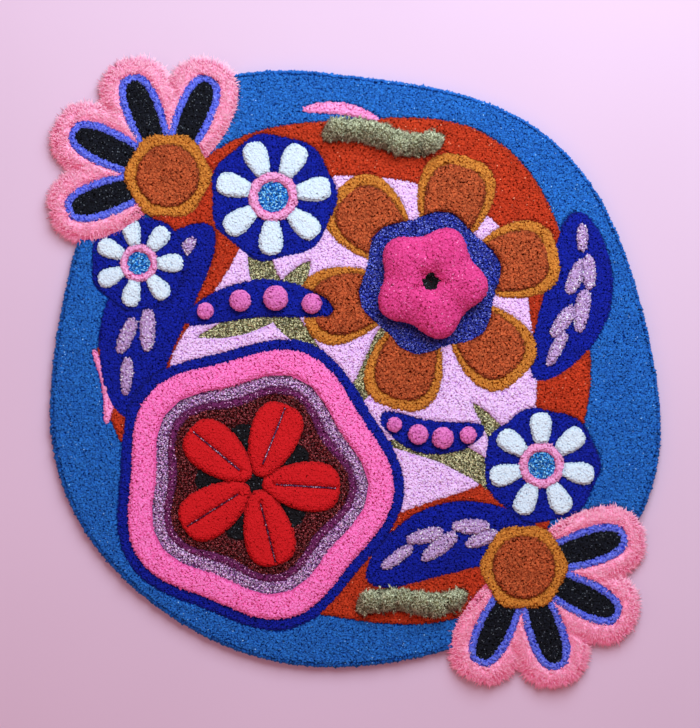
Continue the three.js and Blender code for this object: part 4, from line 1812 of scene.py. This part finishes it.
@dataclass
class Stuffing:
    """Fills a sewn cloth form by a short simulation, so that it swells between its stitches.

    Attributes:
        weave: size of the cloth's cells.
        pressure: push of the stuffing.
        stretch: how hard the cloth is to stretch.
        frames: length of the simulation.
        cap: farthest that a point may move.
    """

    weave: float = 0.0036
    pressure: float = 200.0
    stretch: float = 4.0
    frames: int = 20
    cap: float = 0.005

    def evenly(self, shape: Shape) -> Piece:
        """Turns a shape into a form with cells of one size.

        Args:
            shape: the shape, which is used up.

        Returns:
            The form.
        """
        mesh = bpy.data.meshes.new("form")
        shape.to_mesh(mesh)
        shape.free()
        form = linked("form", mesh)
        remesh = form.modifiers.new("cells", "REMESH")
        remesh.mode = "VOXEL"
        remesh.voxel_size = self.weave
        form.data = bpy.data.meshes.new_from_object(form.evaluated_get(bpy.context.evaluated_depsgraph_get()))
        form.modifiers.clear()
        bpy.data.meshes.remove(mesh)
        return form

    def fill(self, shape: Shape, stitched: Callable[[Array], Array]) -> Shape:
        """Fills a closed shape.

        Args:
            shape: the empty form, which is used up.
            stitched: how firmly each point is sewn down, from zero to one.

        Returns:
            The stuffed form.
        """
        form = self.evenly(shape)
        start = np.array([vertex.co[:] for vertex in form.data.vertices])
        sewn = form.vertex_groups.new(name="sewn")
        for index, weight in enumerate(stitched(start)):
            sewn.add([index], float(weight), "REPLACE")
        cloth = form.modifiers.new("stuffing", "CLOTH")
        cloth.settings.use_pressure = True
        cloth.settings.uniform_pressure_force = self.pressure
        cloth.settings.tension_stiffness = cloth.settings.compression_stiffness = self.stretch
        cloth.settings.effector_weights.gravity = 0
        cloth.settings.vertex_group_mass = "sewn"
        cloth.point_cache.frame_start, cloth.point_cache.frame_end = 1, self.frames
        scene = bpy.context.scene
        for step in range(1, self.frames + 1):
            scene.frame_set(step)
        swollen = bpy.data.meshes.new_from_object(form.evaluated_get(bpy.context.evaluated_depsgraph_get()))
        step = np.array([vertex.co[:] for vertex in swollen.vertices]) - start
        far = np.linalg.norm(step, axis=1)
        step *= np.minimum(1, self.cap / np.maximum(far, 1e-9))[:, None]
        LOG.info("stuffing moved points by up to %.1f mm", 1000 * min(far.max(), self.cap))
        swollen.vertices.foreach_set("co", (start + step).reshape(-1))
        filled = bmesh.new()
        filled.from_mesh(swollen)
        filled.normal_update()
        bpy.data.objects.remove(form)
        scene.frame_set(1)
        return filled


@dataclass
class FlowerHeart(Maker):
    """Stuffed five-lobed boss, creased between its lobes and dimpled, with clipped pile all over.

    Attributes:
        seat: level that it stands on.
        radius: mean radius.
        height: height above its seat.
        segments: number of steps of its mesh round it and from top to bottom.
        lobe: how far the lobes stand out, as a share of the radius.
        turn: angle by which the lobes are turned.
        crease: depth of the creases, as a share of the height.
        dimple: width of the dimple, as a share of the radius.
        foot: width of its foot, as a share of its greatest width.
        widest: level of its greatest width, as a share of the height.
        tuck: how quickly it draws in below that.
        coat: how the tufts stand on it.
        pile: length of a tuft.
        width: width of a tuft.
        hollow: radius of the dark hollow in the dimple.
        hold: how firmly the creases are sewn down.
    """

    seat: float = 0.0138
    radius: float = 0.064
    height: float = 0.032
    segments: tuple[int, int] = (80, 36)
    lobe: float = 0.11
    turn: float = math.radians(30)
    crease: float = 0.26
    dimple: float = 0.24
    foot: float = 0.72
    widest: float = 0.28
    tuck: float = 1.25
    coat: Coat = Coat(pitch=0.0022, shrink=0.0022, root=0.0006, lean=0.14, lowest=-0.55)
    pile: float = 0.0036
    width: float = 0.0022 * 2.7
    hollow: float = 0.0105
    hold: float = 0.7

    @property
    def centre(self) -> Pair:
        """Returns its middle."""
        return self.layout.star

    def shape(self) -> Shape:
        """Returns the boss as one closed shape."""
        shape = bmesh.new()
        bmesh.ops.create_uvsphere(shape, u_segments=self.segments[0], v_segments=self.segments[1], radius=1)
        for vertex in shape.verts:
            x, y, z = vertex.co
            around, flat = math.atan2(y, x), math.hypot(x, y)
            lobe = math.cos(5 * around + self.turn)
            reach = self.radius * flat * (1 + self.lobe * lobe)
            crease = self.crease * ((0.5 - 0.5 * lobe) ** 2) * flat ** 2
            dimple = 0.9 * math.exp(-((flat / self.dimple) ** 2))
            rise = max(0.0, z) ** 0.6 * (1 - crease) * (1 - dimple)
            sink = max(0.0, 1 + self.tuck * min(0.0, z))
            level = self.widest * sink + (1 - self.widest) * rise
            foot = 1 - (1 - self.foot) * min(1.0, -z * self.tuck) if z < 0 else 1.0
            wide = reach * foot
            place = (self.centre[0] + wide * math.cos(around), self.centre[1] + wide * math.sin(around))
            vertex.co = (*place, self.seat + self.height * level)
        return closed(shape)

    def stitched(self, points: Array) -> Array:
        """Finds how firmly each point is sewn: its foot, its dimple and the creases between its lobes.

        Args:
            points: the points, one row each.

        Returns:
            The firmness of each, from zero to one.
        """
        away = points[:, :2] - np.array(self.centre)
        flat = np.hypot(away[:, 0], away[:, 1])
        lobe = np.cos(5 * np.arctan2(away[:, 1], away[:, 0]) + self.turn)
        crease = np.clip((-lobe - 0.85) / 0.15, 0, 1) * self.hold
        foot = points[:, 2] < self.seat + 0.003
        return np.where(foot | (flat < 1.2 * self.hollow), 1.0, crease)

    def build(self) -> list[Piece]:
        """Builds the stuffed form and the pile on it."""
        shape = Stuffing().fill(self.shape(), self.stitched)
        points, base, axis = self.coat.cover(shape, self.rng)
        form = finished(shape, "flower_heart_form", FleeceFinish(Yarn.HOT_PINK).material())
        ride(form, "heart_pile", "flower_heart")
        length = self.pile * self.rng.normal(1, 0.08, len(points))
        tufts = standing(base, axis, length, self.width, self.rng)
        away = np.hypot(points[:, 0] - self.centre[0], points[:, 1] - self.centre[1])
        lobes = np.sin(np.arctan2(*(points[:, 1::-1] - self.centre[::-1]).T) * 5)
        dark = away < self.hollow * (1 + 0.12 * lobes)
        parts = (("flower_heart_pile", ~dark, Yarn.HOT_PINK), ("flower_heart_hollow", dark, Yarn.BLACK))
        pieces = [form]
        for name, mask, yarn in parts:
            finish = PileFinish(yarn).material()
            pieces.append(plant(name, tufts.chosen(mask), Nap.CUT, finish, "heart_pile", self.rng))
        return pieces


@dataclass
class Berries(Maker):
    """Clipped domes sewn along the crescents.

    Attributes:
        radii: radii of the domes on each crescent.
        segments: number of steps of a dome's mesh round it and from top to bottom.
        seat: level that they stand on.
        rise: height, as a share of the radius.
        widest: level of the greatest width, as a share of the height.
        foot: width of the foot, as a share of the greatest width.
        coat: how the tufts stand on a dome.
        pile: length of a tuft.
        width: width of a tuft.
    """

    radii: tuple[tuple[float, ...], ...] = ((0.010, 0.013, 0.015, 0.012), (0.009, 0.012, 0.013, 0.010))
    segments: tuple[int, int] = (28, 16)
    seat: float = 0.0133
    rise: float = 0.82
    widest: float = 0.36
    foot: float = 0.74
    coat: Coat = Coat(pitch=0.0020, shrink=0.0018, root=0.0004, lean=0.12, lowest=-0.4)
    pile: float = 0.0029
    width: float = 0.0020 * 2.4

    def dome(self, place: Array, radius: float) -> Shape:
        """Shapes one dome that rests on its seat.

        Args:
            place: its middle.
            radius: its radius.

        Returns:
            The dome.
        """
        shape = bmesh.new()
        bmesh.ops.create_uvsphere(shape, u_segments=self.segments[0], v_segments=self.segments[1], radius=1)
        for vertex in shape.verts:
            flat = math.hypot(vertex.co.x, vertex.co.y)
            down = min(1.0, max(0.0, -vertex.co.z / 0.7))
            wide = radius * (1 - (1 - self.foot) * down)
            rise = (1 - self.widest) * max(0.0, vertex.co.z) ** 0.85
            level = self.widest + rise if vertex.co.z > 0 else self.widest * (1 - down)
            turn = Vector((vertex.co.x, vertex.co.y)) * wide
            vertex.co = (place[0] + turn.x, place[1] + turn.y, self.seat + self.rise * radius * level)
            vertex.co.z += 0.0002 * flat
        return closed(shape)

    def build(self) -> list[Piece]:
        """Builds each dome and its pile."""
        pieces = []
        mass, loose = FleeceFinish(Yarn.BERRY).material(), PileFinish(Yarn.BERRY).material()
        for crescent, radii in zip(self.layout.crescents, self.radii):
            for index, radius in enumerate(radii):
                name = f"berry_{len(pieces) // 2 + 1}"  # each berry is a dome and its pile
                shape = self.dome(crescent.place((index + 0.62) / (len(radii) + 0.24)), radius)
                _, base, axis = self.coat.cover(shape, self.rng)
                pieces.append(ride(finished(shape, f"{name}_dome", mass), "berry_pile", name))
                length = self.pile * self.rng.normal(1, 0.08, len(base))
                tufts = standing(base, axis, length, self.width, self.rng)
                pieces.append(plant(f"{name}_pile", tufts, Nap.CUT, loose, "berry_pile", self.rng))
        return pieces


@dataclass
class MidlineStitches(Maker):
    """Metallic running stitches down the middle of each red petal.

    Attributes:
        pitch: distance between stitches.
        length: length of a stitch.
        width: width of a stitch.
        level: level at which they lie.
        run: where they start and end, as shares of the petal's length.
    """

    pitch: float = 0.0030
    length: float = 0.0034
    width: float = 0.0019
    level: float = 0.0152
    run: Pair = (0.16, 0.95)

    def build(self) -> list[Piece]:
        """Lays the stitches in their grooves."""
        base, axis = [], []
        for petal in midlines(self.layout):
            for share in np.arange(*self.run, self.pitch / petal.length):
                base.append((*petal.place(float(share)), self.level))
                axis.append((*unit(petal.angle), 0.0))
        length = self.length * self.rng.normal(1, 0.08, len(base))
        tufts = standing(np.array(base), np.array(axis), length, self.width, self.rng)
        finish = PileFinish(Yarn.THREAD).material()
        return [plant("midline_stitches", tufts, Nap.LOOP, finish, "rug_pile", self.rng)]


@dataclass
class Studio:
    """Plain floor, soft light and a camera straight above.

    Attributes:
        height: the camera's distance above the floor.
        view: height of the floor that the picture shows.
        aim: the floor's point at the middle of the picture.
        sensor: height of the camera's sensor.
        floor: colour of the floor.
        half_floor: half the floor's size.
        lamps: name, place, size, power and tint of each light.
        sky: colour and strength of the light from all round.
    """

    height: float = 2.3
    view: float = 0.905
    aim: Pair = (0.002, 0.010)
    sensor: float = 24.0
    floor: str = "e4c1de"
    half_floor: float = 12.0
    lamps: tuple[tuple[str, tuple[float, float, float], float, float, str], ...] = (
        ("key_light", (0.4, 1.15, 1.35), 1.4, 41.0, "dcfbff"),
        ("fill_light", (-1.6, -0.6, 1.9), 2.2, 7.0, "ffd4cc"),
    )
    sky: tuple[Colour, float] = ((1.0, 0.56, 0.52, 1.0), 0.38)

    def stage_floor(self) -> None:
        """Builds the plain pale floor."""
        shape = bmesh.new()
        bmesh.ops.create_grid(shape, x_segments=8, y_segments=8, size=self.half_floor)
        mesh = bpy.data.meshes.new("floor")
        shape.to_mesh(mesh)
        shape.free()
        tree, colour = FinishTree("floor_paint"), linear(self.floor)
        pale = tree.ramp(tree.noise(3.0, 1.0), [(0.3, colour), (0.7, darker(colour, 0.97))])
        tree.dress(Base_Color=pale, Roughness=0.8, Specular_IOR_Level=0.2)
        mesh.materials.append(tree.material)
        linked("floor", mesh)

    def light(self) -> None:
        """Adds the soft square lights, which face the rug, and the light from all round."""
        for name, place, size, power, tint in self.lamps:
            lamp = bpy.data.lights.new(name, "AREA")
            lamp.size, lamp.energy, lamp.color = size, power, linear(tint)[:3]
            stand = linked(name, lamp)
            stand.location = place
            stand.rotation_euler = Vector(place).to_track_quat("Z", "Y").to_euler()
        world = bpy.data.worlds.new("studio")
        world.use_nodes = True
        background = world.node_tree.nodes["Background"]
        background.inputs["Color"].default_value, background.inputs["Strength"].default_value = self.sky
        bpy.context.scene.world = world

    def camera(self) -> None:
        """Adds the camera, straight above the rug."""
        lens = bpy.data.cameras.new("camera")
        lens.sensor_fit, lens.sensor_height = "VERTICAL", self.sensor
        lens.lens = self.sensor * self.height / self.view
        camera = linked("camera", lens)
        camera.location = (*self.aim, self.height)
        bpy.context.scene.camera = camera

    def build(self) -> None:
        """Sets the whole stage."""
        self.stage_floor()
        self.light()
        bpy.context.scene.view_settings.view_transform = "Standard"
        self.camera()


def main() -> None:
    """Builds the rug piece by piece and reports each."""
    logging.basicConfig(level=logging.INFO, format="%(message)s")
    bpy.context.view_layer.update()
    rng = np.random.default_rng(SEED)
    layout = Layout()
    Studio().build()
    plan = PilePlan(Zones(layout.motifs()), rng)
    plan.lay()
    LOG.info("tuft sites: %d", len(plan.sites))
    shared = (layout, plan, rng)
    makers: list[Maker] = [
        RugBody(*shared),
        MidlineStitches(*shared),
        ShagFan(*shared, 1),
        ShagFan(*shared, 2),
        TinselGarland(*shared, 1),
        TinselGarland(*shared, 2),
        FlowerHeart(*shared),
        Berries(*shared),
    ]
    total = 0
    for maker in makers:
        for piece in maker.build():
            count = sum(len(face.vertices) - 2 for face in piece.data.polygons)
            LOG.info("%s: %d triangles", piece.name, count)
            total += count
    LOG.info("all pieces: %d triangles", total)


if __name__ == "__main__":
    main()
